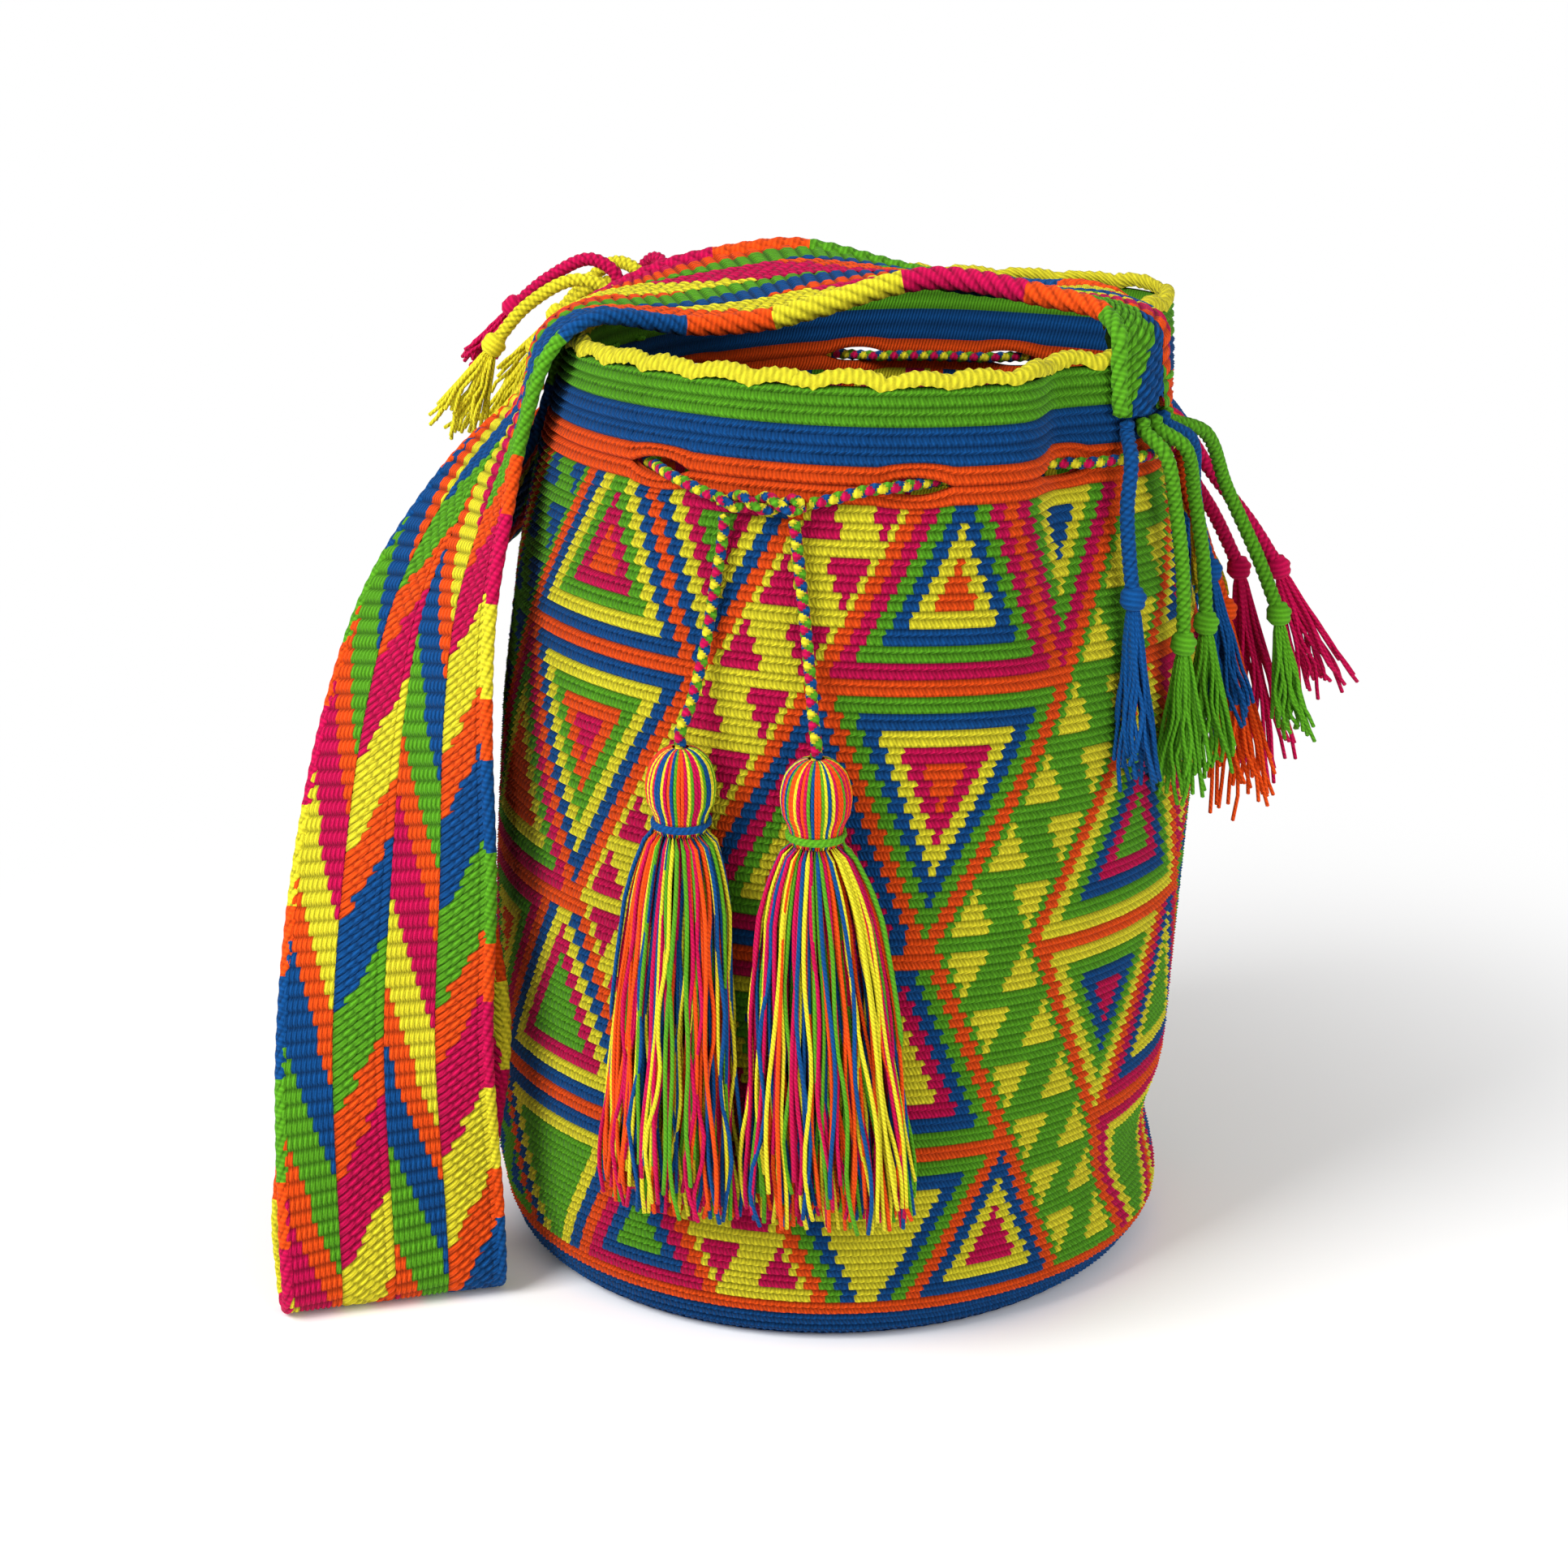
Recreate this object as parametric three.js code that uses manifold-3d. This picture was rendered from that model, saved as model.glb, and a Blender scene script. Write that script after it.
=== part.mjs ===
import * as THREE from "three";
import { mergeVertices } from "three/addons/utils/BufferGeometryUtils.js";
import Module from "manifold-3d";

const wasm = await Module();
wasm.setup();

// Crocheted bucket bag with a braided shoulder strap, a drawstring and two tassels.
// Millimetres, +Z up. The base stands on z = 0 and the drawstring knot faces -Y.
// Angles go round the bag in degrees from the front, positive towards +X.

// Bag body
const HEIGHT = 303;
const BASE_R = 99;
const BELLY_R = 112;
const MOUTH_R = 98.5;
const WALL = 3.6;
const BASE_T = 4.2;
const LEAN = [17.6, 5.6];
const RIM_DROP = 6;
const PLEAT_ANGLE = 51.5;
const PLEAT_DEPTH = 13;
const PULL_ANGLE = 105;
const PULL_DEPTH = 28;
const MOUTH_BULGE = 16;
const SLUMP = 4.5;

// Drawstring
const STRING_D = 3.6;
const STRING_Z = HEIGHT - 32;
const EYELETS = [22, 52, 98, 138, 170, 200, 235, 338];
const EYELET_W = 21;
const EYELET_PLAY = 0.9;
const KNOT_ANGLE = -1.5;
const KNOT_LENGTH = 25;
const TAIL_DROP = 75;

// Tassels
const TASSEL_HEAD_R = 10.6;
const TASSEL_NECK_R = 6.6;
const TASSEL_LENGTH = 146;
const TASSEL_SPREAD = [22, 26];
const TASSEL_ANGLE = [-7.5, 11.5];
const TASSEL_SWAY = [-5, 5.5];
const BINDING_T = 2.6;

// Strap
const STRAP_W = 67;
const STRAP_T = 3.6;
const STRAP_RIGHT = 83;
const STRAP_LEFT = -99;
const STRAP_TUCK = 20;
const FOLD_R = 7;
const SEAM_D = 1.8;

// Loose cord ends of the strap
const CORD_D = 4.4;
const CORD_KNOT_D = 8.2;

// Clearances: parts that touch, and yarn that runs through a hole
const SEAT = 0.35;
const HOLE_PLAY = 0.4;

const YARN = {
  green: 0x58a028,
  blue: 0x005aa0,
  orange: 0xff5f19,
  magenta: 0xc8006e,
  yellow: 0xebdc28,
};

const rad = THREE.MathUtils.degToRad;
const mix = THREE.MathUtils.lerp;
const v3 = (x, y, z) => new THREE.Vector3(x, y, z);

const group = new THREE.Group();

function yarn(name) {
  return new THREE.MeshStandardMaterial({ color: YARN[name], roughness: 0.9, metalness: 0 });
}

function addMesh(name, geometry, material) {
  const mesh = new THREE.Mesh(geometry, material);
  mesh.name = name;
  group.add(mesh);
}

// A triangle mesh as a solid, and a solid as a mesh again.
function toSolid(geometry) {
  const g = geometry.clone();
  g.deleteAttribute("normal");
  g.deleteAttribute("uv");
  const merged = mergeVertices(g, 1e-4);
  const position = merged.attributes.position.array;
  const kept = [];
  const index = merged.index.array;
  for (let i = 0; i < index.length; i += 3) {
    const [a, b, c] = [index[i], index[i + 1], index[i + 2]];
    if (a !== b && b !== c && a !== c) kept.push(a, b, c);
  }
  const triVerts = new Uint32Array(kept);
  const made = new wasm.Manifold(new wasm.Mesh({ numProp: 3, vertProperties: position, triVerts }));
  return made;
}

function toGeometry(solid) {
  const mesh = solid.getMesh();
  const g = new THREE.BufferGeometry();
  g.setAttribute("position", new THREE.BufferAttribute(new Float32Array(mesh.vertProperties), 3));
  g.setIndex(new THREE.BufferAttribute(new Uint32Array(mesh.triVerts), 1));
  g.computeVertexNormals();
  return g;
}

// A closed skin over rings of points, with a flat fan on the first and the last ring.
function skin(rings) {
  const n = rings[0].length;
  const position = [];
  const index = [];
  for (const p of rings.flat()) position.push(p.x, p.y, p.z);
  const at = (i, j) => i * n + ((j + n) % n);
  for (let i = 0; i + 1 < rings.length; i += 1) {
    for (let j = 0; j < n; j += 1) {
      index.push(at(i, j), at(i, j + 1), at(i + 1, j + 1));
      index.push(at(i, j), at(i + 1, j + 1), at(i + 1, j));
    }
  }
  const cap = (i, flip) => {
    const c = v3(0, 0, 0);
    for (const p of rings[i]) c.addScaledVector(p, 1 / n);
    const k = position.length / 3;
    position.push(c.x, c.y, c.z);
    for (let j = 0; j < n; j += 1) {
      if (flip) index.push(k, at(i, j + 1), at(i, j));
      else index.push(k, at(i, j), at(i, j + 1));
    }
  };
  cap(0, true);
  cap(rings.length - 1, false);
  const g = new THREE.BufferGeometry();
  g.setAttribute("position", new THREE.BufferAttribute(new Float32Array(position), 3));
  g.setIndex(index);
  let volume = 0;
  const p = (i) => v3(position[3 * i], position[3 * i + 1], position[3 * i + 2]);
  for (let i = 0; i < index.length; i += 3) {
    volume += p(index[i]).dot(p(index[i + 1]).cross(p(index[i + 2])));
  }
  if (volume < 0) {
    index.reverse();
    g.setIndex(index);
  }
  g.computeVertexNormals();
  return g;
}

function roundShape(radius, sides) {
  const shape = new THREE.Shape();
  for (let i = 0; i < sides; i += 1) {
    const a = (2 * Math.PI * i) / sides;
    if (i === 0) shape.moveTo(radius * Math.cos(a), radius * Math.sin(a));
    else shape.lineTo(radius * Math.cos(a), radius * Math.sin(a));
  }
  shape.closePath();
  return shape;
}

function tube(points, diameter, steps, sides = 8) {
  const extrudePath = new THREE.CatmullRomCurve3(points, false, "centripetal");
  return new THREE.ExtrudeGeometry(roundShape(diameter / 2, sides), {
    steps,
    extrudePath,
    bevelEnabled: false,
  });
}

// Shape of the wall: radius by height, lean, the pleat at the mouth and the slump at the base edge.
const PROFILE = [
  [0, BASE_R],
  [0.013, mix(BASE_R, BELLY_R, 0.36)],
  [0.04, mix(BASE_R, BELLY_R, 0.62)],
  [0.09, mix(BASE_R, BELLY_R, 0.85)],
  [0.2, BELLY_R - 0.5],
  [0.4, BELLY_R],
  [0.6, BELLY_R],
  [0.76, mix(BELLY_R, MOUTH_R, 0.18)],
  [0.86, mix(BELLY_R, MOUTH_R, 0.44)],
  [0.94, mix(BELLY_R, MOUTH_R, 0.74)],
  [1, MOUTH_R],
];

function wallRadius(f) {
  if (f <= 0) return PROFILE[0][1];
  for (let i = 1; i < PROFILE.length; i += 1) {
    const [f1, r1] = PROFILE[i];
    const [f0, r0] = PROFILE[i - 1];
    if (f <= f1) return mix(r0, r1, (f - f0) / (f1 - f0));
  }
  return MOUTH_R;
}

function around(phi, centre) {
  return ((((phi - centre + 180) % 360) + 360) % 360) - 180;
}

function pleat(phi, f) {
  const d = around(phi, PLEAT_ANGLE);
  const w = d < 0 ? 7 : 15;
  const rise = THREE.MathUtils.smoothstep(f, 0.6, 0.93);
  return PLEAT_DEPTH * Math.exp(-((d / w) ** 2)) * rise;
}

// The strap draws the rim in at its right end, and the mouth bulges behind it.
function pull(phi, f) {
  const inward = Math.exp(-((around(phi, PULL_ANGLE) / 24) ** 2));
  const outward = Math.exp(-((around(phi, PULL_ANGLE + 37) / 20) ** 2));
  return (PULL_DEPTH * inward - MOUTH_BULGE * outward) * THREE.MathUtils.smoothstep(f, 0.62, 0.97);
}

function slump(phi, z) {
  const side = Math.exp(-((around(phi, 92) / 34) ** 2));
  const bulge = Math.exp(-(((z - 15) / 11) ** 2));
  const dent = Math.exp(-(((z - 40) / 15) ** 2));
  return SLUMP * side * (0.9 * bulge - dent);
}

function outline(phi, z) {
  const f = z / HEIGHT;
  const r = wallRadius(f) - pleat(phi, f) - pull(phi, f) + slump(phi, z);
  const lean = Math.max(f, 0) ** 1.6;
  const low = Math.max(0, Math.cos(rad(around(phi, -100)))) ** 2;
  const drop = RIM_DROP * low * THREE.MathUtils.clamp(f, 0, 1) ** 3;
  const a = rad(phi);
  return v3(LEAN[0] * lean + r * Math.sin(a), LEAN[1] * lean - r * Math.cos(a), z - drop);
}

function wallNormal(phi, z) {
  const t = outline(phi + 1, z).sub(outline(phi - 1, z));
  return v3(t.y, -t.x, 0).normalize();
}

// A point off the outer face of the wall, along its level normal.
function wallPoint(phi, z, off) {
  return outline(phi, z).addScaledVector(wallNormal(phi, z), off);
}

// Lean of the wall near the mouth, and how much further a level offset reaches for it.
const rimSlope = (wallRadius(0.94) - MOUTH_R) / (0.06 * HEIGHT);
const slant = Math.hypot(1, rimSlope);

// The angle that lies a distance round the wall from another, at a height.
function wallTurn(phi, z, distance) {
  const step = distance < 0 ? -0.25 : 0.25;
  let at = phi;
  let gone = 0;
  while (gone < Math.abs(distance)) {
    gone += outline(at + step, z).distanceTo(outline(at, z));
    at += step;
  }
  return at;
}

// Bag body: rings from the middle of the base, up outside, over the rim, and down inside.
const SEGMENTS = 90;
function wallRing(z, off) {
  const ring = [];
  for (let j = 0; j < SEGMENTS; j += 1) ring.push(wallPoint((360 * j) / SEGMENTS, z, off));
  return ring;
}
function baseRing(z, share, off) {
  const middle = v3(0, 0, z);
  return wallRing(z, off).map((p) => middle.clone().lerp(v3(p.x, p.y, z), share));
}

const outerZ = [0.013, 0.04, 0.085, 0.14, 0.24, 0.38, 0.53, 0.65, 0.74, 0.81, 0.87, 0.93, 0.975];
const bagRings = [baseRing(0, 0.35, 0), baseRing(0, 0.75, 0), baseRing(0, 0.97, 0)];
for (const f of outerZ) bagRings.push(wallRing(f * HEIGHT, 0));
bagRings.push(wallRing(HEIGHT - 1.4, -0.1));
bagRings.push(wallRing(HEIGHT - 0.3, -0.9));
bagRings.push(wallRing(HEIGHT - 0.3, -WALL + 0.9));
bagRings.push(wallRing(HEIGHT - 1.4, -WALL + 0.1));
for (const f of [0.975, 0.93, 0.87, 0.81, 0.74, 0.65, 0.38, 0.14, 0.085]) {
  bagRings.push(wallRing(f * HEIGHT, -WALL));
}
bagRings.push(wallRing(BASE_T + 1.5, -WALL - 0.6));
bagRings.push(baseRing(BASE_T, 0.95, -WALL));
bagRings.push(baseRing(BASE_T, 0.7, -WALL));
bagRings.push(baseRing(BASE_T, 0.35, -WALL));
let bag = toSolid(skin(bagRings));

// Eyelets: pointed slits through the wall at the drawstring's level.
const slitH = STRING_D + 2 * EYELET_PLAY;
for (const phi of EYELETS) {
  const slit = new THREE.Shape();
  const side = [
    [-1, 0],
    [-0.72, 0.78],
    [-0.4, 1],
    [0.4, 1],
    [0.72, 0.78],
    [1, 0],
    [0.72, -0.78],
    [0.4, -1],
    [-0.4, -1],
    [-0.72, -0.78],
  ];
  side.forEach(([x, y], i) => {
    if (i === 0) slit.moveTo((x * EYELET_W) / 2, (y * slitH) / 2);
    else slit.lineTo((x * EYELET_W) / 2, (y * slitH) / 2);
  });
  slit.closePath();
  const reach = WALL + 16;
  const g = new THREE.ExtrudeGeometry(slit, { depth: reach, steps: 1, bevelEnabled: false });
  g.translate(0, 0, -reach / 2);
  const n = wallNormal(phi, STRING_Z);
  const up = v3(0, 0, 1);
  const across = v3(0, 0, 0).crossVectors(up, n);
  const middle = wallPoint(phi, STRING_Z, -WALL / 2);
  const m = new THREE.Matrix4().makeBasis(across, up, n).setPosition(middle);
  g.applyMatrix4(m);
  bag = bag.subtract(toSolid(g));
}

// Strap: seven rails across the band, each through the same stations along it.
const RAILS = 7;
const strapOff = SEAT + 0.25 + STRAP_T / 2;
const stations = [];
function onWall(phiN, phiF, zN, zF, offN, offF) {
  const row = [];
  for (let i = 0; i < RAILS; i += 1) {
    const u = i / (RAILS - 1);
    row.push(wallPoint(mix(phiN, phiF, u), mix(zN, zF, u), mix(offN, offF, u)));
  }
  stations.push(row);
}
function between(n, f) {
  const row = [];
  for (let i = 0; i < RAILS; i += 1) row.push(n.clone().lerp(f, i / (RAILS - 1)));
  stations.push(row);
}
const freePoint = (phi, off, z) => wallPoint(phi, z, off);
const overMouth = (x, y, rise) => v3(x * MOUTH_R, y * MOUTH_R, HEIGHT + rise);
const halfTurn = THREE.MathUtils.radToDeg(STRAP_W / 2 / (MOUTH_R + 4));

const rightN = wallTurn(STRAP_RIGHT, HEIGHT - STRAP_TUCK / 2, -STRAP_W / 2);
const rightF = wallTurn(STRAP_RIGHT, HEIGHT - STRAP_TUCK / 2, STRAP_W / 2);
const strapEndZ = HEIGHT - STRAP_TUCK;
onWall(rightN, rightF, strapEndZ, strapEndZ, strapOff, strapOff);
onWall(rightN, rightF, HEIGHT - 12, HEIGHT - 12, strapOff, strapOff);
onWall(rightN, rightF, HEIGHT - 4, HEIGHT - 4, strapOff, strapOff);
onWall(rightN, rightF, HEIGHT + 3.4, HEIGHT + 3.4, strapOff - 0.6, strapOff - 0.6);
onWall(rightN, rightF, HEIGHT + 9, HEIGHT + 7, -8, -8);
between(overMouth(0.757, -0.241, 12), overMouth(0.569, 0.396, 3));
between(overMouth(0.366, -0.15, 14), overMouth(0.173, 0.487, 4));
between(overMouth(0.027, -0.257, 5), overMouth(-0.209, 0.365, 13));
between(overMouth(-0.117, -0.271, 1), overMouth(-0.412, 0.315, 11));
between(overMouth(-0.345, -0.335, -1), overMouth(-0.64, 0.244, 6));
onWall(-54, -94, HEIGHT + 5.5, HEIGHT + 5.5, -3, -3);
onWall(-54, -93, HEIGHT - 3, HEIGHT - 3, 8, 8.5);
between(freePoint(-55, 10, HEIGHT * 0.907), freePoint(-87, 15, HEIGHT * 0.907));
between(freePoint(-50, 13, HEIGHT * 0.83), freePoint(-78, 28, HEIGHT * 0.84));
between(freePoint(-45.9, 17, HEIGHT * 0.732), freePoint(-69.6, 45, HEIGHT * 0.726));
between(freePoint(-42.7, 18, HEIGHT * 0.62), freePoint(-63.2, 55, HEIGHT * 0.61));
between(freePoint(-39.3, 18, HEIGHT * 0.46), freePoint(-56.3, 66, HEIGHT * 0.45));
between(freePoint(-37.7, 20, HEIGHT * 0.284), freePoint(-49.9, 75, HEIGHT * 0.284));
const footN = freePoint(-37.9, 17, HEIGHT * 0.1);
const footF = freePoint(-44.4, 82, HEIGHT * 0.1);
between(footN, footF);
const back = footF.clone().sub(footN);
back.set(back.y, -back.x, 0).normalize();
if (back.dot(v3(-0.3, 0.95, 0)) < 0) back.negate();
const foldAt = (step, z) => {
  const n = footN.clone().addScaledVector(back, step).setZ(z);
  const f = footF.clone().addScaledVector(back, step).setZ(z);
  between(n, f);
};
const foldZ = STRAP_T / 2 + 0.2;
foldAt(-1, foldZ + FOLD_R);
foldAt(FOLD_R * 0.25, foldZ + FOLD_R * 0.25);
foldAt(FOLD_R, foldZ);
foldAt(FOLD_R * 1.75, foldZ + FOLD_R * 0.25);
foldAt(FOLD_R * 2 + 1, foldZ + FOLD_R);
foldAt(FOLD_R * 2 + 3, HEIGHT * 0.1);
between(freePoint(-45, 6, HEIGHT * 0.28), freePoint(-56.5, 63, HEIGHT * 0.28));
between(freePoint(-55, 12, HEIGHT * 0.5), freePoint(-75, 48, HEIGHT * 0.5));
between(freePoint(-67, 14, HEIGHT * 0.69), freePoint(-95, 27, HEIGHT * 0.69));
onWall(-77, -115, HEIGHT * 0.81, HEIGHT * 0.81, 9, 9);
const leftN = STRAP_LEFT + halfTurn;
const leftF = STRAP_LEFT - halfTurn;
onWall(leftN, leftF, HEIGHT - 34, HEIGHT - 34, strapOff + 0.5, strapOff + 0.5);
onWall(leftN, leftF, HEIGHT - 22, HEIGHT - 22, strapOff, strapOff);
onWall(leftN, leftF, HEIGHT - 12, HEIGHT - 12, strapOff, strapOff);
onWall(leftN, leftF, HEIGHT - 5, HEIGHT - 5, strapOff, strapOff);

function strapBand(steps) {
  const curves = [];
  for (let i = 0; i < RAILS; i += 1) {
    curves.push(new THREE.CatmullRomCurve3(stations.map((row) => row[i]), false, "centripetal"));
  }
  const grid = [];
  for (let s = 0; s <= steps; s += 1) grid.push(curves.map((c) => c.getPoint(s / steps)));
  const normal = (s, i) => {
    const along = grid[Math.min(s + 1, steps)][i].clone().sub(grid[Math.max(s - 1, 0)][i]);
    const across = grid[s][Math.min(i + 1, RAILS - 1)].clone().sub(grid[s][Math.max(i - 1, 0)]);
    return along.cross(across).normalize();
  };
  const rings = [];
  for (let s = 0; s <= steps; s += 1) {
    const top = [];
    const under = [];
    for (let i = 0; i < RAILS; i += 1) {
      const n = normal(s, i);
      const half = i === 0 || i === RAILS - 1 ? STRAP_T * 0.42 : STRAP_T / 2;
      top.push(grid[s][i].clone().addScaledVector(n, half));
      under.push(grid[s][i].clone().addScaledVector(n, -half));
    }
    rings.push([...top, ...under.reverse()]);
  }
  return skin(rings);
}
let strap = toSolid(strapBand((stations.length - 1) * 2));

// Seam yarn: a running stitch through the strap end and the wall.
function seamPoints(phiN, phiF, z) {
  const outside = strapOff + STRAP_T / 2 + HOLE_PLAY + 0.3 + SEAM_D / 2;
  const inside = -WALL - HOLE_PLAY - 0.2 - SEAM_D / 2;
  const points = [];
  const turns = 2;
  const n = 12 * turns;
  for (let i = 0; i <= n; i += 1) {
    const t = i / n;
    const wave = 0.5 - 0.5 * Math.cos(2 * Math.PI * turns * t);
    points.push(wallPoint(mix(phiN + 4, phiF - 4, t), z, mix(inside, outside, wave)));
  }
  return points;
}
const seams = {
  strap_seam_right: seamPoints(rightN, rightF, HEIGHT - 11),
  strap_seam_left: seamPoints(leftN - 8, leftF + 8, HEIGHT - 14),
};
for (const [name, points] of Object.entries(seams)) {
  const hole = toSolid(tube(points, SEAM_D + 2 * HOLE_PLAY, 20, 6));
  bag = bag.subtract(hole);
  strap = strap.subtract(hole);
  addMesh(name, tube(points, SEAM_D, 20, 6), yarn("green"));
}
addMesh("bag_body", toGeometry(bag), yarn("orange"));
addMesh("strap_band", toGeometry(strap), yarn("magenta"));

// Drawstring: outside and inside the wall by turns, changing over at each eyelet.
const stringOff = (SEAT + 0.3 + STRING_D / 2) * slant;
const change = THREE.MathUtils.radToDeg((EYELET_W * 0.46) / MOUTH_R);
function stringOffset(phi) {
  let off = stringOff;
  let outside = true;
  for (const e of EYELETS) {
    const t = THREE.MathUtils.smoothstep(phi, e - change, e + change);
    const from = outside ? stringOff : -WALL - stringOff;
    const to = outside ? -WALL - stringOff : stringOff;
    if (t > 0) off = mix(from, to, t);
    outside = !outside;
  }
  return off;
}
const knotHalf = THREE.MathUtils.radToDeg(KNOT_LENGTH / 2 / (MOUTH_R + 4));
const loopFrom = KNOT_ANGLE + knotHalf + 0.4;
const loopTo = 360 + KNOT_ANGLE - knotHalf - 0.4;
const loopPoints = [];
const loopCount = 132;
for (let i = 0; i <= loopCount; i += 1) {
  const phi = mix(loopFrom, loopTo, i / loopCount);
  loopPoints.push(wallPoint(phi, STRING_Z, stringOffset(phi)));
}
addMesh("drawstring_loop", tube(loopPoints, STRING_D, 80, 8), yarn("blue"));

// Half knot: the two ends twisted round each other.
const knotRings = [];
const knotOff = SEAT + 0.15 + STRING_D;
for (let i = 0; i <= 13; i += 1) {
  const t = i / 13;
  const phi = KNOT_ANGLE + mix(-knotHalf, knotHalf, t);
  const n = wallNormal(phi, STRING_Z);
  const up = v3(0, 0, 1);
  const c = wallPoint(phi, STRING_Z, knotOff);
  const ring = [];
  const size = 0.55 + 0.45 * Math.sin(Math.PI * t) ** 0.5;
  for (let j = 0; j < 10; j += 1) {
    const a = (2 * Math.PI * j) / 10;
    const r = STRING_D * 0.5 * size * (1.5 + 0.42 * Math.cos(2 * (a - 2.6 * Math.PI * t)));
    ring.push(c.clone().addScaledVector(n, r * Math.cos(a)).addScaledVector(up, r * Math.sin(a)));
  }
  knotRings.push(ring);
}
addMesh("drawstring_knot", skin(knotRings), yarn("green"));

// Tassels: plumb below the knot, resting on the wall, each on its own cord end.
const tasselTop = STRING_Z - TAIL_DROP;
const headZ = tasselTop - TASSEL_HEAD_R;
["left", "right"].forEach((side, i) => {
  const phi = TASSEL_ANGLE[i];
  const n = v3(Math.sin(rad(phi)), -Math.cos(rad(phi)), 0);
  const t = v3(Math.cos(rad(phi)), Math.sin(rad(phi)), 0);
  const root = outline(phi, headZ);
  // How far the wall stands out from the plumb line at a height, over the tassel's own width.
  const standOut = (z, half) => {
    let most = -Infinity;
    for (let a = phi - 34; a <= phi + 34; a += 1) {
      const d = outline(a, z).sub(root);
      if (Math.abs(d.dot(t)) <= half) most = Math.max(most, d.dot(n));
    }
    return most;
  };
  const spread = TASSEL_SPREAD[i];
  const rows = [
    [0, 2.6, 2.6],
    [0.012, 6.4, 6.2],
    [0.035, 9.2, 8.8],
    [0.073, TASSEL_HEAD_R, TASSEL_HEAD_R],
    [0.11, 9.6, 9.2],
    [0.137, TASSEL_NECK_R, TASSEL_NECK_R],
    [0.175, TASSEL_NECK_R, TASSEL_NECK_R],
    [0.2, 9.4, 8.4],
    [0.3, mix(9.4, spread, 0.35), 9.4],
    [0.5, mix(9.4, spread, 0.62), 9.8],
    [0.75, mix(9.4, spread, 0.85), 10.2],
    [0.95, spread, 10],
    [1, spread * 0.9, 8],
  ];
  const lie = (share) => {
    const z = tasselTop - share * TASSEL_LENGTH;
    const row = rows.find((r) => r[0] >= share) ?? rows[rows.length - 1];
    return standOut(z, row[1] + Math.abs(TASSEL_SWAY[i])) + SEAT;
  };
  const rings = rows.map(([share, w, d]) => {
    const z = tasselTop - share * TASSEL_LENGTH;
    const headLie = lie(0.073) + TASSEL_HEAD_R;
    const centre = share < 0.19 ? headLie : Math.max(lie(share) + d, headLie - 1.5);
    const sway = TASSEL_SWAY[i] * Math.max(0, (share - 0.19) / 0.81);
    const c = v3(root.x, root.y, z).addScaledVector(n, centre).addScaledVector(t, sway);
    const ring = [];
    for (let j = 0; j < 16; j += 1) {
      const a = (2 * Math.PI * j) / 16;
      ring.push(c.clone().addScaledVector(t, w * Math.cos(a)).addScaledVector(n, d * Math.sin(a)));
    }
    return ring;
  });
  addMesh(`tassel_${side}_threads`, skin(rings), yarn(i === 0 ? "magenta" : "yellow"));

  // Binding: yarn wound round the neck under the head.
  const neckShare = 0.156;
  const r0 = TASSEL_NECK_R / Math.cos(Math.PI / 16) + SEAT;
  const hb = TASSEL_LENGTH * 0.013;
  const half = BINDING_T / 2;
  const section = [
    [r0, -hb],
    [r0 + half, -hb - 0.5],
    [r0 + BINDING_T * 0.9, -hb * 0.5],
    [r0 + BINDING_T * 0.9, hb * 0.5],
    [r0 + half, hb + 0.5],
    [r0, hb],
    [r0, -hb],
  ].map(([x, y]) => new THREE.Vector2(x, y));
  const ring = new THREE.LatheGeometry(section, 16);
  ring.rotateX(Math.PI / 2);
  const centre = lie(0.073) + TASSEL_HEAD_R;
  const at = v3(root.x, root.y, tasselTop - neckShare * TASSEL_LENGTH).addScaledVector(n, centre);
  ring.translate(at.x, at.y, at.z);
  addMesh(`tassel_${side}_binding`, ring, yarn(i === 0 ? "blue" : "green"));

  // Hanging end of the drawstring, from the knot to the top of the tassel.
  const top = KNOT_ANGLE + (i === 0 ? -0.75 : 0.8) * knotHalf;
  const from = wallPoint(top, STRING_Z - STRING_D * 0.5 * 1.92 - SEAT, knotOff);
  const to = v3(root.x, root.y, tasselTop + SEAT).addScaledVector(n, centre);
  const above = to.clone().setZ(to.z + 4);
  const points = [from];
  for (const s of [0.12, 0.3, 0.5, 0.7, 0.84]) {
    const z = mix(from.z, to.z, s);
    const p = from.clone().lerp(to, s);
    const q = p.clone().sub(root);
    let free = -Infinity;
    for (let a = phi - 25; a <= phi + 25; a += 1) {
      const d = outline(a, z).sub(root);
      if (Math.abs(d.dot(t) - q.dot(t)) <= 3) free = Math.max(free, d.dot(n));
    }
    const least = free + stringOff + 0.3;
    const want = s > 0.6 ? Math.max(least, mix(least, centre, (s - 0.6) / 0.4)) : least;
    p.addScaledVector(n, Math.max(want, least) - q.dot(n));
    points.push(p);
  }
  points.push(above, to);
  addMesh(`drawstring_end_${side}`, tube(points, STRING_D, 9, 8), yarn(i === 0 ? "yellow" : "magenta"));
});

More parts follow.
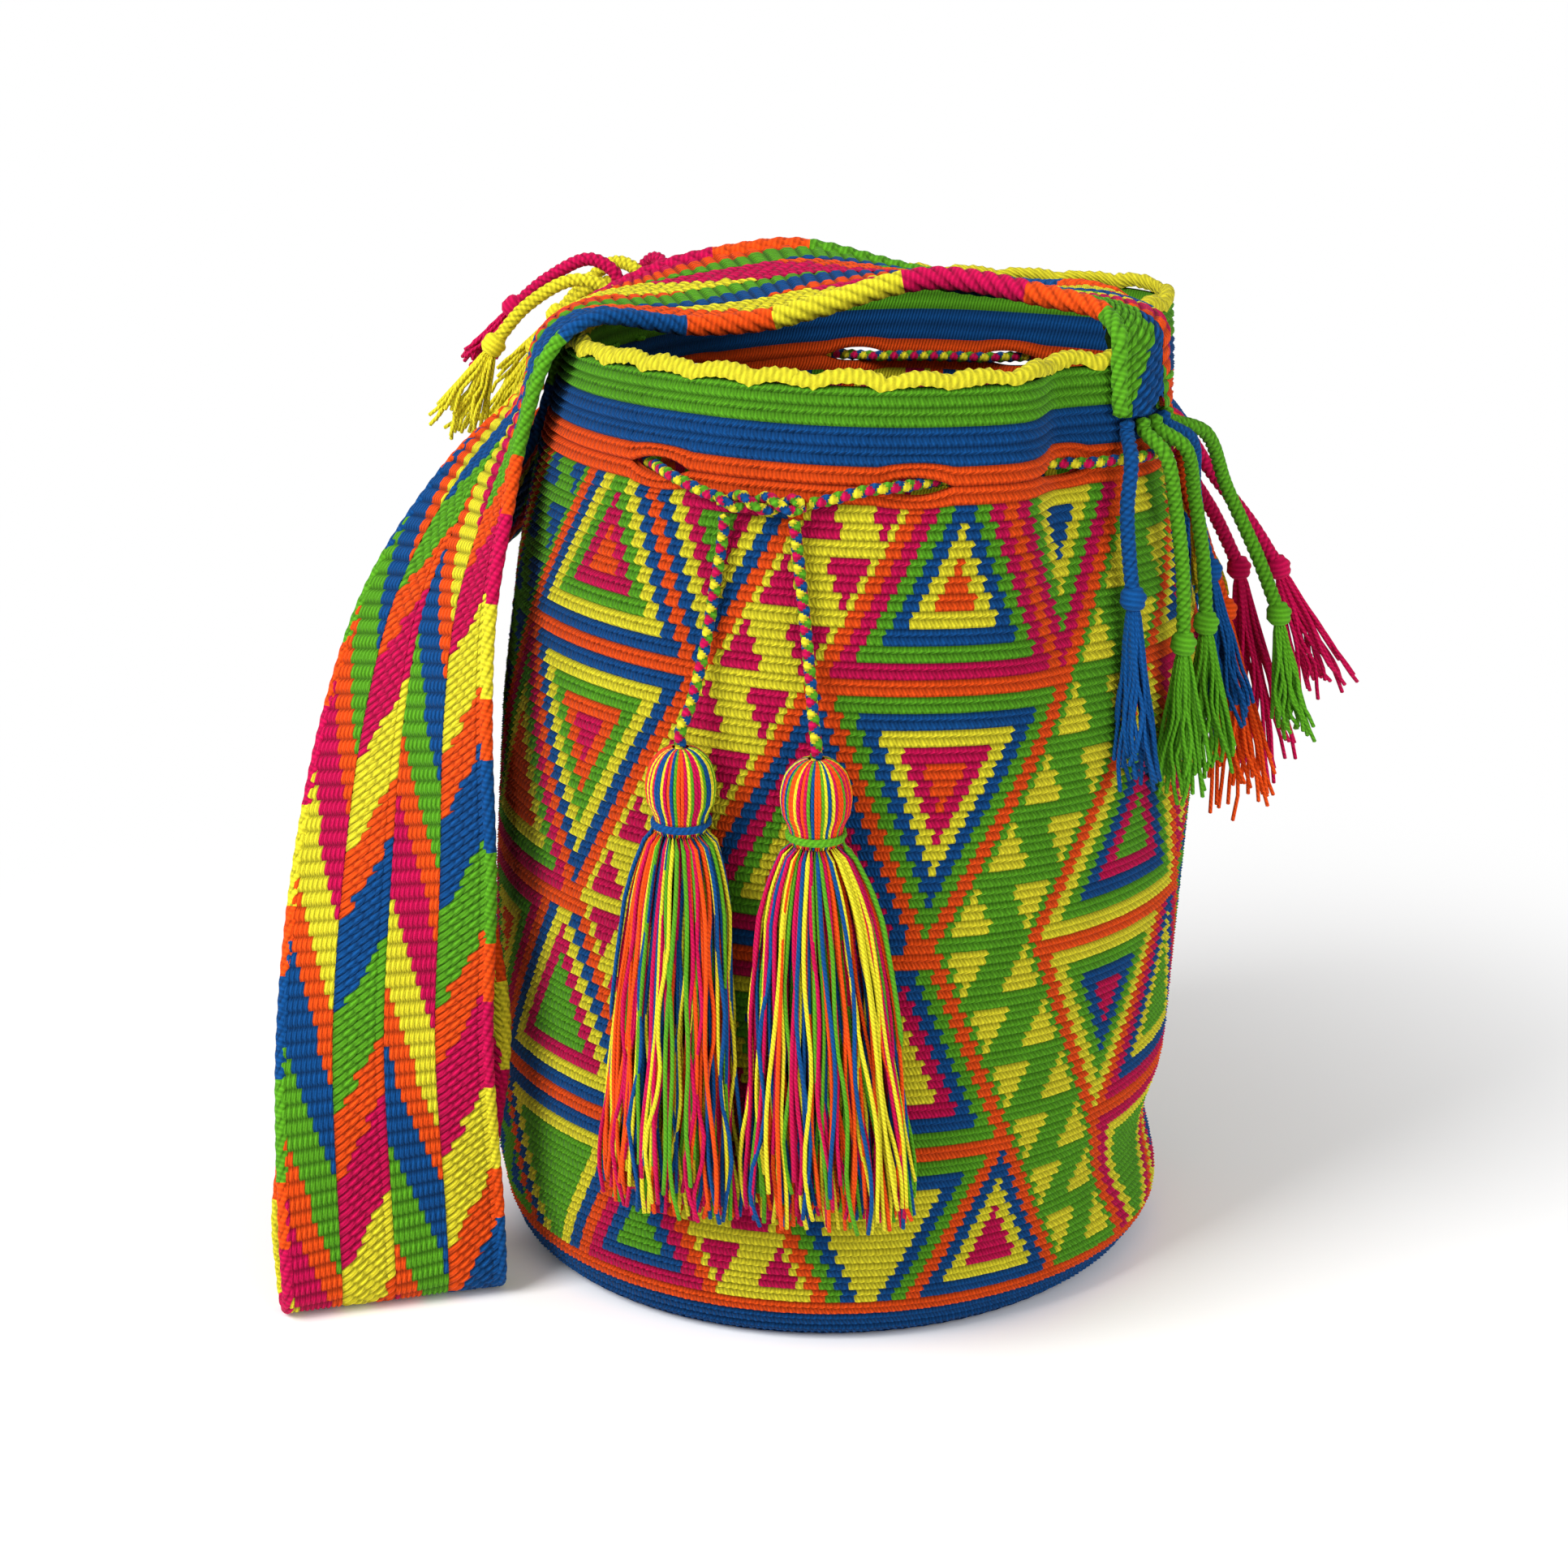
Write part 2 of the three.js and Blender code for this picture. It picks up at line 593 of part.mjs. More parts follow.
// Loose cord ends: a twisted cord, its end knot and the frayed brush below it.
function fringe(name, colour, path, brush, flare) {
  const points = path.map(([phi, drop, off]) => wallPoint(phi, HEIGHT - drop, off));
  const straight = path[1][1] > path[0][1] ? -3.5 : 3.5;
  points.splice(1, 0, points[0].clone().setZ(points[0].z + straight));
  const last = points[points.length - 1];
  const [bphi, bdrop, boff] = brush;
  const tip = wallPoint(bphi, HEIGHT - bdrop, boff);
  const down = tip.clone().sub(last);
  const length = down.length();
  let solid = toSolid(tube(points, CORD_D, 6, 8));
  const half = CORD_KNOT_D / 2;
  const section = [
    [0, -half * 0.9],
    [half * 0.75, -half * 0.6],
    [half, 0],
    [half * 0.62, half * 0.9],
    [mix(half * 0.6, flare, 0.6), length * 0.55],
    [flare, length * 0.92],
    [flare * 0.6, length],
    [0, length],
  ].map(([x, y]) => new THREE.Vector2(x, y));
  const end = new THREE.LatheGeometry(section, 8);
  const turn = new THREE.Quaternion().setFromUnitVectors(v3(0, 1, 0), down.clone().normalize());
  end.applyQuaternion(turn);
  end.translate(last.x, last.y, last.z);
  solid = solid.add(toSolid(end));
  addMesh(name, toGeometry(solid), yarn(colour));
}

// Each path is angle, drop below the mouth and distance off the wall.
const e = STRAP_TUCK + SEAT + 0.3;
const on = CORD_D / 2 + 0.2;
const over = (stringOff + STRING_D / 2 + CORD_D / 2 + 1.2) * slant;
fringe("fringe_right_blue_1", "blue",
  [[64.5, e, on], [63, 31, over + 0.3], [62, 45, 7], [62, 60, 6], [62, 71, 6]],
  [61, 112, 7], 4.4);
fringe("fringe_right_green_1", "green",
  [[68, e, on], [69, 31, over + 0.6], [71, 48, 8], [72, 68, 8], [72, 88, 8]],
  [71.5, 125, 8.5], 5);
fringe("fringe_right_green_2", "green",
  [[71.5, e, on], [74.5, 31, over + 0.6], [79, 48, 8], [81, 68, 8], [80.5, 86, 8]],
  [81, 122, 9], 5);
fringe("fringe_right_blue_2", "blue",
  [[75, e, on], [79.5, 31, over + 0.8], [86, 48, 8], [89.5, 62, 7.5], [90.5, 75, 7.5]],
  [90.5, 122, 9], 5);
fringe("fringe_right_orange_1", "orange",
  [[82, e, on], [88, 31, over + 0.6], [95, 50, 8], [99, 72, 8], [100, 92, 9]],
  [100, 150, 18], 6.5);
fringe("fringe_right_green_3", "green",
  [[78.5, e, on], [83.8, 31, over + 6.1], [90, 50, 19], [94, 72, 23], [95, 90, 26]],
  [97, 122, 31], 4.6);
fringe("fringe_right_magenta_1", "magenta",
  [[85.2, e, on], [91.8, 30, over + 2.2], [98.5, 48, 18], [103, 66, 25], [104, 80, 29]],
  [107, 118, 39], 6);
fringe("fringe_right_magenta_2", "magenta",
  [[89.3, e, on], [96.6, 30, over + 1.2], [105, 48, 11], [110, 66, 14], [111.5, 84, 17]],
  [113, 140, 25], 6);
fringe("fringe_right_yellow_1", "yellow",
  [[94.6, e, on], [104.4, 31, over + 1.6], [110.5, 43, 10], [113, 54, 9.5], [115, 64, 8]],
  [116, 96, 8], 4.4);
fringe("fringe_right_blue_3", "blue",
  [[99.9, e, on], [113, 29, over + 0.6], [120, 37, 7], [127, 48, 6.5], [130, 62, 6.5]],
  [131, 120, 8], 5);

// The left strap end points up, so its cords rise over the rim and fall outside.
const u = 5 - SEAT + 0.05 - (STRAP_T / 2) * rimSlope;
fringe("fringe_left_yellow_1", "yellow",
  [[-100.5, u, on], [-100, -5, 4], [-98, -7.5, 14], [-95, 1, 27], [-93, 14, 33]],
  [-91, 40, 37], 4.6);
fringe("fringe_left_magenta_1", "magenta",
  [[-103.6, u, on], [-103.8, -8, 4], [-103, -13, 14], [-101.5, -6, 28], [-100.5, 4, 38]],
  [-99, 26, 47], 4.2);
fringe("fringe_left_yellow_2", "yellow",
  [[-106.7, u, on], [-107, -4, 4.5], [-106, -4, 14], [-104, 7, 24], [-102.5, 18, 28]],
  [-101, 46, 31], 4.6);
fringe("fringe_left_yellow_3", "yellow",
  [[-109.8, u, on], [-110.5, -7, 4], [-110.5, -10, 14], [-110, -1, 27], [-109.5, 10, 34]],
  [-109, 36, 40], 4.6);
fringe("fringe_left_orange_1", "orange",
  [[-112.9, u, on], [-114, -4, 4.5], [-114.5, -3.5, 13], [-114, 8, 22], [-113.5, 20, 25]],
  [-112, 52, 26], 4.4);
fringe("fringe_left_magenta_2", "magenta",
  [[-116, u, on], [-117.5, -7, 4], [-119, -9, 13], [-119.5, 0, 24], [-119.5, 12, 30]],
  [-119, 40, 34], 4.4);

export default group;
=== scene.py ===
import math

import bpy
import numpy as np
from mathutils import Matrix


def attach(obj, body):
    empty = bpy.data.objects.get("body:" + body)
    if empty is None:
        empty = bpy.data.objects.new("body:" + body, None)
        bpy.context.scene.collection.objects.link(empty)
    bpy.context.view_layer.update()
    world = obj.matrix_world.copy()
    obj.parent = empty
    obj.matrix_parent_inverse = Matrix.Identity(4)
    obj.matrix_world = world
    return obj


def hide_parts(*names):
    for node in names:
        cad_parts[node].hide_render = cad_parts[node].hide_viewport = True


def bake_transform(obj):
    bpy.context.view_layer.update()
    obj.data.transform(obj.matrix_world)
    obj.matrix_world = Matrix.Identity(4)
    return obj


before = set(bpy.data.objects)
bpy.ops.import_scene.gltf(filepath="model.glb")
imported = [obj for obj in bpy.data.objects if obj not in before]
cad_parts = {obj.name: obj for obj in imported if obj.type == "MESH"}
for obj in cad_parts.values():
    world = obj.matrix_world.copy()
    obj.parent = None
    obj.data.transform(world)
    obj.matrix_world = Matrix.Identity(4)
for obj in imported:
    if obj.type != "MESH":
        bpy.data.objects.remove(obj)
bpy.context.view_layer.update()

# Crocheted bucket bag with a braided strap, a drawstring and two tassels.
# Lengths are millimetres until a mesh is made. Angles go round the bag in degrees
# from the front, which faces -Y, positive towards +X.

MM = 0.001
RANDOM = np.random.default_rng(11)

# Bag body
HEIGHT = 303
BASE_R = 99
BELLY_R = 112
MOUTH_R = 98.5
WALL = 3.6
BASE_T = 4.2
LEAN = (17.6, 5.6)
RIM_DROP = 6
PLEAT_ANGLE = 51.5
PLEAT_DEPTH = 13
PLEAT_WIDTHS = (7, 15)
PULL_ANGLE = 105
PULL_DEPTH = 28
PULL_WIDTH = 24
MOUTH_BULGE = 16
BULGE_TURN = 37
BULGE_WIDTH = 20
SLUMP = 4.5
SLUMP_ANGLE = 92
SLUMP_WIDTH = 34
LOW_SIDE = -100

# Drawstring and tassels
STRING_D = 3.6
STRING_Z = HEIGHT - 32
EYELETS = (22, 52, 98, 138, 170, 200, 235, 338)
EYELET_W = 21
EYELET_H = 5.4
STRING_SAG = 5
KNOT_ANGLE = -1.5
KNOT_LENGTH = 25
TAIL_DROP = 75
TASSEL_HEAD_R = 10.6
TASSEL_NECK_R = 7.6
TASSEL_LENGTH = 146
TASSEL_SPREAD = (22, 26)
TASSEL_ANGLE = (-7.5, 11.5)
TASSEL_SWAY = (-5, 5.5)
SEAT = 0.35

# Strap and its loose cord ends
STRAP_W = 67
STRAP_T = 3.6
STRAP_RIGHT = 83
STRAP_LEFT = -99
STRAP_TUCK = 20
FOLD_R = 7
SEAM_D = 1.8
CORD_D = 4.4
CORD_KNOT_D = 8.2

# Crochet: stitches round the bag, and the repeat of the pattern in stitches
STITCHES = 294
REPEAT = 49
TURN_ROW = 27
PATTERN_ROWS = 51
ROW_DRIFT = 0.08
FIRST_STITCH = 28.5 - REPEAT * 360 / STITCHES

GREEN, BLUE, ORANGE, MAGENTA, YELLOW = range(5)
YARN = {
    "green": (90, 166, 26),
    "blue": (0, 76, 142),
    "orange": (255, 82, 8),
    "magenta": (208, 0, 80),
    "yellow": (238, 226, 44),
}
NAMES = list(YARN)
INITIALS = "".join(name[0] for name in NAMES)


# Materials

YARN_ROUGHNESS = 0.85
YARN_SPECULAR = 0.1
YARN_SHEEN = 0.03
# Painted shade of a yarn between its plies, painted highlight on top of them, and painted shade in the gaps
# between yarns, as shares of its colour
PLY_DARK = 0.5
PLY_LIGHT = 1.1
GAP_LIGHT = 0.42
DYE_RANGE = (0.84, 1.14)


def linear(rgb):
    """sRGB from 0 to 255 as linear light."""
    out = []
    for v in rgb:
        c = v / 255
        out.append(c / 12.92 if c <= 0.04045 else ((c + 0.055) / 1.055) ** 2.4)
    return out


def feed(tree, socket, value):
    """Link an input to another node's output, or set its value."""
    if isinstance(value, bpy.types.NodeSocket):
        tree.links.new(value, socket)
    else:
        socket.default_value = value


def node(tree, kind, *first, **values):
    """A new shader node, with its first inputs in order, and its settings and other inputs by name."""
    n = tree.nodes.new(kind)
    for key, value in values.items():
        if hasattr(n, key):
            setattr(n, key, value)
        else:
            feed(tree, n.inputs[key.replace("_", " ")], value)
    for socket, value in zip(n.inputs, first):
        feed(tree, socket, value)
    return n


def yarn_material(name, rgb):
    """Cotton yarn: twisted plies along the yarn, loose fibres and dye that varies at random, with painted
    shade between the plies and in the gaps between yarns, and a painted highlight on the ply tops.
    """
    material = bpy.data.materials.new(name + "_yarn")
    material.use_nodes = True
    tree = material.node_tree
    place = node(tree, "ShaderNodeTexCoord").outputs
    at = place["Object"]
    plies = node(tree, "ShaderNodeTexWave", place["UV"], Scale=math.pi / 10, Distortion=0.6, Detail=1.0)
    fibres = node(tree, "ShaderNodeTexNoise", at, Scale=1500.0, Detail=3.0, Roughness=0.6)
    dye = node(tree, "ShaderNodeTexNoise", at, Scale=60.0, Detail=2.0)
    add = node(tree, "ShaderNodeMath", plies.outputs["Fac"], fibres.outputs["Fac"], operation="ADD")
    half = node(tree, "ShaderNodeMath", add.outputs[0], 0.55, operation="MULTIPLY")

    light = np.array(linear(rgb))
    # Painted shade between the plies and painted highlight on their tops, mixed by the plies and fibres
    dark = (*(light * PLY_DARK), 1)
    bright = (*np.clip(light * PLY_LIGHT + 0.004, 0, 1), 1)
    shade = node(tree, "ShaderNodeMix", data_type="RGBA", A=dark, B=bright, Factor=half.outputs[0])
    level = node(tree, "ShaderNodeMapRange", dye.outputs["Fac"], 0, 1, *DYE_RANGE).outputs["Result"]
    # Painted shade in the gaps between yarns, from the depth attribute, multiplied with the dye
    depth = node(tree, "ShaderNodeAttribute", attribute_name="depth")
    shadow = node(tree, "ShaderNodeMapRange", depth.outputs["Fac"], 0, 1, GAP_LIGHT, 1).outputs["Result"]
    value = node(tree, "ShaderNodeMath", level, shadow, operation="MULTIPLY")
    dye_and_painted_shade = node(tree, "ShaderNodeHueSaturation", Value=value.outputs[0], Color=shade.outputs["Result"])
    bump = node(tree, "ShaderNodeBump", Strength=0.7, Distance=0.0006, Height=half.outputs[0])
    inputs = {
        "Roughness": YARN_ROUGHNESS,
        "Specular IOR Level": YARN_SPECULAR,
        "Sheen Weight": YARN_SHEEN,
        "Sheen Roughness": 0.5,
        "Base Color": dye_and_painted_shade.outputs["Color"],
        "Normal": bump.outputs["Normal"],
    }
    for key, given in inputs.items():
        feed(tree, tree.nodes["Principled BSDF"].inputs[key], given)
    return material


YARNS = [yarn_material(name, rgb) for name, rgb in YARN.items()]


# Shapes shared with the solids

def mix(a, b, t):
    return a + (b - a) * t


def smoothstep(x, low, high):
    t = np.clip((x - low) / (high - low), 0, 1)
    return t * t * (3 - 2 * t)


def around(phi, centre):
    """The turn from a centre angle, from -180 to 180 degrees."""
    return (phi - centre + 180) % 360 - 180


PROFILE = np.array([
    (0, BASE_R),
    (0.013, mix(BASE_R, BELLY_R, 0.36)),
    (0.04, mix(BASE_R, BELLY_R, 0.62)),
    (0.09, mix(BASE_R, BELLY_R, 0.85)),
    (0.2, BELLY_R - 0.5),
    (0.4, BELLY_R),
    (0.6, BELLY_R),
    (0.76, mix(BELLY_R, MOUTH_R, 0.18)),
    (0.86, mix(BELLY_R, MOUTH_R, 0.44)),
    (0.94, mix(BELLY_R, MOUTH_R, 0.74)),
    (1, MOUTH_R),
])


def wall_radius(f):
    return np.interp(f, PROFILE[:, 0], PROFILE[:, 1])


def outline(phi, z):
    """A point of the bag's outer face, for arrays of angles and heights."""
    phi, z = np.broadcast_arrays(np.asarray(phi, float), np.asarray(z, float))
    f = z / HEIGHT
    d = around(phi, PLEAT_ANGLE)
    pleat = PLEAT_DEPTH * np.exp(-((d / np.where(d < 0, *PLEAT_WIDTHS)) ** 2)) * smoothstep(f, 0.6, 0.93)
    side = np.exp(-((around(phi, SLUMP_ANGLE) / SLUMP_WIDTH) ** 2))
    slump = 0.9 * np.exp(-(((z - 15) / 11) ** 2)) - np.exp(-(((z - 40) / 15) ** 2))
    inward = PULL_DEPTH * np.exp(-((around(phi, PULL_ANGLE) / PULL_WIDTH) ** 2))
    outward = MOUTH_BULGE * np.exp(-((around(phi, PULL_ANGLE + BULGE_TURN) / BULGE_WIDTH) ** 2))
    pull = (inward - outward) * smoothstep(f, 0.62, 0.97)
    r = wall_radius(f) - pleat - pull + SLUMP * side * slump
    lean = np.maximum(f, 0) ** 1.6
    low = np.maximum(0, np.cos(np.radians(around(phi, LOW_SIDE)))) ** 2
    drop = RIM_DROP * low * np.clip(f, 0, 1) ** 3
    a = np.radians(phi)
    return np.stack([LEAN[0] * lean + r * np.sin(a), LEAN[1] * lean - r * np.cos(a), z - drop], -1)


def wall(phi, z, off=0.0):
    """A point off the outer face of the wall, along its level normal."""
    t = outline(np.asarray(phi) + 1, z) - outline(np.asarray(phi) - 1, z)
    n = np.stack([t[..., 1], -t[..., 0], np.zeros_like(t[..., 0])], -1)
    n /= np.linalg.norm(n, axis=-1, keepdims=True)
    return outline(phi, z) + n * np.asarray(off)[..., None]


def wall_turn(phi, z, distance):
    """The angle that lies a distance round the wall from another, at a height."""
    at = phi + np.sign(distance) * np.arange(0, 60, 0.25)
    return np.interp(abs(distance), lengths(outline(at, z)), at)


RIM_SLOPE = (wall_radius(0.94) - MOUTH_R) / (0.06 * HEIGHT)
SLANT = math.hypot(1, RIM_SLOPE)
STRING_OFF = (SEAT + 0.3 + STRING_D / 2) * SLANT


def string_sag(phi):
    """How far the drawstring hangs below its eyelets: most at the knot."""
    return STRING_SAG * (1 - smoothstep(np.abs(around(phi, KNOT_ANGLE)), 5.5, 19))


def catmull(points, per):
    """Centripetal Catmull-Rom curve through the points, with per steps between two of them."""
    p = np.asarray(points, float)
    p = np.concatenate([[2 * p[0] - p[1]], p, [2 * p[-1] - p[-2]]])
    out = []
    w = np.arange(per)[:, None] / per
    for i in range(1, len(p) - 2):
        x0, x1, x2, x3 = p[i - 1:i + 3]
        d0, d1, d2 = [max(np.linalg.norm(b - a) ** 0.5, 1e-4) for a, b in ((x0, x1), (x1, x2), (x2, x3))]
        t1 = ((x1 - x0) / d0 - (x2 - x0) / (d0 + d1) + (x2 - x1) / d1) * d1
        t2 = ((x2 - x1) / d1 - (x3 - x1) / (d1 + d2) + (x3 - x2) / d2) * d1
        c2 = -3 * x1 + 3 * x2 - 2 * t1 - t2
        c3 = 2 * x1 - 2 * x2 + t1 + t2
        out.append(x1 + t1 * w + c2 * w**2 + c3 * w**3)
    out.append(p[-2:-1])
    return np.concatenate(out)


def lengths(path):
    """Distance along a path to each of its points."""
    return np.concatenate([[0], np.cumsum(np.linalg.norm(np.diff(path, axis=0), axis=1))])


def even(path, step):
    """The same path with points about step apart."""
    s = lengths(path)
    at = np.linspace(0, s[-1], max(2, int(round(s[-1] / step)) + 1))
    return np.stack([np.interp(at, s, path[:, k]) for k in range(3)], -1)


# Meshes of yarn

CUT_CAP = 0.3


def show(obj):
    bpy.context.scene.collection.objects.link(obj)


def cut_end(path):
    """The path with a short last step, so that its tube ends blunt, as cut yarn does."""
    last = path[-1] - path[-2]
    return np.vstack([path, path[-1] + CUT_CAP * last / np.linalg.norm(last)])


class Yarns:
    """Gathers grids of points into one mesh, with a yarn colour for each face."""

    def __init__(self):
        self.points, self.quads, self.colours, self.uvs, self.depths = [], [], [], [], []
        self.total = 0

    def grid(self, points, colour, uv, depth=1.0, closed=False):
        """points is rows x columns x 3. uv has one more column where the columns close on themselves.
        depth is the painted shade: 0, darkest, in the gaps between yarns and 1 on top of them."""
        rows, columns = points.shape[:2]
        across = columns if closed else columns - 1
        i = np.arange(rows - 1)[:, None]
        j = np.arange(across)[None, :]
        here = i * columns + j
        beside = i * columns + (j + 1) % columns
        quads = np.stack([here, beside, beside + columns, here + columns], -1)
        low, high = uv[:-1], uv[1:]
        corners = [low[:, :across], low[:, 1:across + 1], high[:, 1:across + 1], high[:, :across]]
        self.points.append(points.reshape(-1, 3))
        self.depths.append(np.broadcast_to(depth, (rows, columns)).ravel())
        self.quads.append(quads.reshape(-1, 4) + self.total)
        self.colours.append(np.broadcast_to(colour, (rows - 1, across)).ravel())
        self.uvs.append(np.stack(corners, 2).reshape(-1, 2))
        self.total += rows * columns

    def tube(self, path, radius, colour, sides=6, plies=2, lay=1.7, tops=None):
        """A round yarn along a path. radius is one number, or a number for each point and side.
        tops is the radius at the top of its strands, so that what lies below gets darker with painted shade."""
        path = np.asarray(path, float)
        radius = np.broadcast_to(np.asarray(radius, float), (len(path), sides)).copy()
        depth = 1.0 if tops is None else np.clip((radius / tops - 0.74) / 0.22, 0, 1)
        radius[0] *= 0.15
        radius[-1] *= 0.15
        side, up = frames(path)
        a = 2 * np.pi * np.arange(sides) / sides
        spoke = np.cos(a)[None, :, None] * side[:, None] + np.sin(a)[None, :, None] * up[:, None]
        s = lengths(path)
        turn = np.arange(sides + 1) / sides
        uv = np.stack(np.broadcast_arrays(plies * turn[None, :] + s[:, None] / lay, s[:, None] / 10), -1)
        self.grid(path[:, None] + radius[..., None] * spoke, colour, uv, depth, closed=True)

    def finish(self, name, body, nodes=(), slot=None):
        """Make the piece. With no body it is left unattached."""
        points = np.concatenate(self.points)
        quads = np.concatenate(self.quads)
        mesh = bpy.data.meshes.new(name)
        mesh.vertices.add(len(points))
        mesh.vertices.foreach_set("co", (points * MM).astype(np.float32).ravel())
        mesh.loops.add(4 * len(quads))
        mesh.loops.foreach_set("vertex_index", quads.astype(np.int32).ravel())
        mesh.polygons.add(len(quads))
        mesh.polygons.foreach_set("loop_start", np.arange(0, 4 * len(quads), 4, dtype=np.int32))
        for material in YARNS:
            mesh.materials.append(material)
        colours = np.concatenate(self.colours).astype(np.int32)
        mesh.polygons.foreach_set("material_index", colours)
        mesh.polygons.foreach_set("use_smooth", np.ones(len(quads), bool))
        # The depth attribute carries the painted shade that the yarn material darkens the colour by
        depth = mesh.attributes.new("depth", "FLOAT", "POINT")
        depth.data.foreach_set("value", np.concatenate(self.depths).astype(np.float32))
        layer = mesh.uv_layers.new(name="yarn")
        layer.data.foreach_set("uv", np.concatenate(self.uvs).astype(np.float32).ravel())
        mesh.update(calc_edges=True)
        obj = bpy.data.objects.new(name, mesh)
        show(obj)
        if body:
            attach(obj, body)
        if nodes:
            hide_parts(*nodes)
        return obj


def frames(path):
    """Two directions across a path at each of its points, that don't turn about it."""
    along = np.gradient(path, axis=0)
    along /= np.linalg.norm(along, axis=1, keepdims=True)
    side = np.empty_like(path)
    first = np.cross(along[0], (0.31, 0.9, 0.2))
    if np.linalg.norm(first) < 0.1:
        first = np.cross(along[0], (0.9, 0.2, 0.31))
    side[0] = first / np.linalg.norm(first)
    for i in range(1, len(path)):
        s = side[i - 1] - along[i] * np.dot(side[i - 1], along[i])
        side[i] = s / np.linalg.norm(s)
    return side, np.cross(along, side)


def rope(yarns, path, diameter, colours, pitch, sides=16):
    """A cord of as many twisted strands as there are colours."""
    strands = len(colours)
    path = even(path, pitch / strands / 3.4)
    turn = np.arange(sides) / sides - lengths(path)[:, None] / pitch
    round_off = np.abs(np.cos(np.pi * strands * turn))
    radius = diameter / 2 * (0.72 + 0.32 * round_off**0.7)
    middle = np.floor(strands * (turn[:-1] + 0.5 / sides) + 0.5).astype(int) % strands
    # tops paints shade in the grooves between the strands
    yarns.tube(path, radius, np.asarray(colours)[middle], sides, tops=radius.max())
    return path


def braid(yarns, path, diameter, colours, pitch, sides=12):
    """A round braid: two strands wind one way and two the other, over and under by turns."""
    path = even(path, pitch / 12)
    s = lengths(path)[:, None] / pitch
    turn = np.arange(sides) / sides

    def strand(turn, s):
        right = 2 * (s + turn)
        left = 2 * (s - turn)
        over = (np.floor(right) + np.floor(left)) % 2 < 1
        height = np.abs(np.sin(np.pi * right) * np.sin(np.pi * left))
        number = np.where(over, np.floor(right) % 2, 2 + np.floor(left) % 2)
        return height, number.astype(int)

    radius = diameter / 2 * (0.82 + 0.26 * strand(turn, s)[0])
    number = strand(turn + 0.5 / sides, (s[:-1] + s[1:]) / 2)[1]
    # tops paints shade where the strands dip under one another
    yarns.tube(path, radius, np.asarray(colours)[number], sides, tops=radius.max())
    return path


# Camera and light

CAMERA_AT = (0.2763, -0.9216, 0.469)
CAMERA_DOWN = 18.35
CAMERA_TURN = 17.5
LENS = 71.2
WORLD_LIGHT = 0.54
WHITE = (1, 1, 1, 1)
FLOOR_COLOUR = (0.95, 0.95, 0.95, 1)
FLOOR_SIZE = 6
# Distances in metres from the middle between which the floor turns plain white
FLOOR_FADE = (0.16, 0.5)
LAMPS = [
    ("key_lamp", (-1.1, -1.5, 1.7), (52, 0, -36), (1.2, 1.2), 58),
    ("fill_lamp", (1.7, -1.1, 1.1), (66, 0, 57), (1.2, 1.6), 22),
]


def make_camera():
    data = bpy.data.cameras.new("camera")
    data.sensor_width = 36
    data.sensor_fit = "HORIZONTAL"
    data.lens = LENS
    data.clip_end = 20
    camera = bpy.data.objects.new("camera", data)
    camera.location = CAMERA_AT
    camera.rotation_euler = (math.radians(90 - CAMERA_DOWN), 0, math.radians(CAMERA_TURN))
    show(camera)
    bpy.context.scene.camera = camera


def make_surround():
    """A surround that the camera sees as white and that lights the object less than that."""
    scene = bpy.context.scene
    scene.view_settings.view_transform = "Standard"
    world = bpy.data.worlds.new("surround")
    world.use_nodes = True
    tree = world.node_tree
    path = node(tree, "ShaderNodeLightPath")
    strength = node(tree, "ShaderNodeMix", A=WORLD_LIGHT, B=1.0, Factor=path.outputs["Is Camera Ray"])
    background = tree.nodes["Background"]
    feed(tree, background.inputs["Color"], WHITE)
    feed(tree, background.inputs["Strength"], strength.outputs["Result"])
    scene.world = world


def make_floor():
    """A pale floor that keeps the shadow near the object and fades to white away from it."""
    floor = bpy.data.materials.new("floor")
    floor.use_nodes = True
    tree = floor.node_tree
    shader = tree.nodes["Principled BSDF"]
    for key, value in (("Base Color", FLOOR_COLOUR), ("Roughness", 0.9), ("Specular IOR Level", 0.1)):
        feed(tree, shader.inputs[key], value)
    place = node(tree, "ShaderNodeTexCoord")
    away = node(tree, "ShaderNodeVectorMath", place.outputs["Object"], operation="LENGTH")
    away = away.outputs["Value"]
    edge = node(tree, "ShaderNodeMapRange", away, *FLOOR_FADE, interpolation_type="SMOOTHSTEP")
    seen = node(tree, "ShaderNodeLightPath").outputs["Is Camera Ray"]
    both = node(tree, "ShaderNodeMath", edge.outputs["Result"], seen, operation="MULTIPLY")
    white = node(tree, "ShaderNodeEmission", WHITE)
    blend = node(tree, "ShaderNodeMixShader", both.outputs[0], shader.outputs[0], white.outputs[0])
    feed(tree, tree.nodes["Material Output"].inputs["Surface"], blend.outputs[0])
    mesh = bpy.data.meshes.new("floor")
    corners = [(x * FLOOR_SIZE, y * FLOOR_SIZE, 0) for x, y in ((-1, -1), (1, -1), (1, 1), (-1, 1))]
    mesh.from_pydata(corners, [], [(0, 1, 2, 3)])
    mesh.materials.append(floor)
    ground = bpy.data.objects.new("floor", mesh)
    ground.location.z = -0.0005
    show(ground)


def make_lamps():
    for name, at, turn, area, watts in LAMPS:
        data = bpy.data.lights.new(name, "AREA")
        data.shape = "RECTANGLE"
        data.size, data.size_y = area
        data.energy = watts
        lamp = bpy.data.objects.new(name, data)
        lamp.location = at
        lamp.rotation_euler = [math.radians(t) for t in turn]
        show(lamp)


# Tassels and the hanging ends of the drawstring

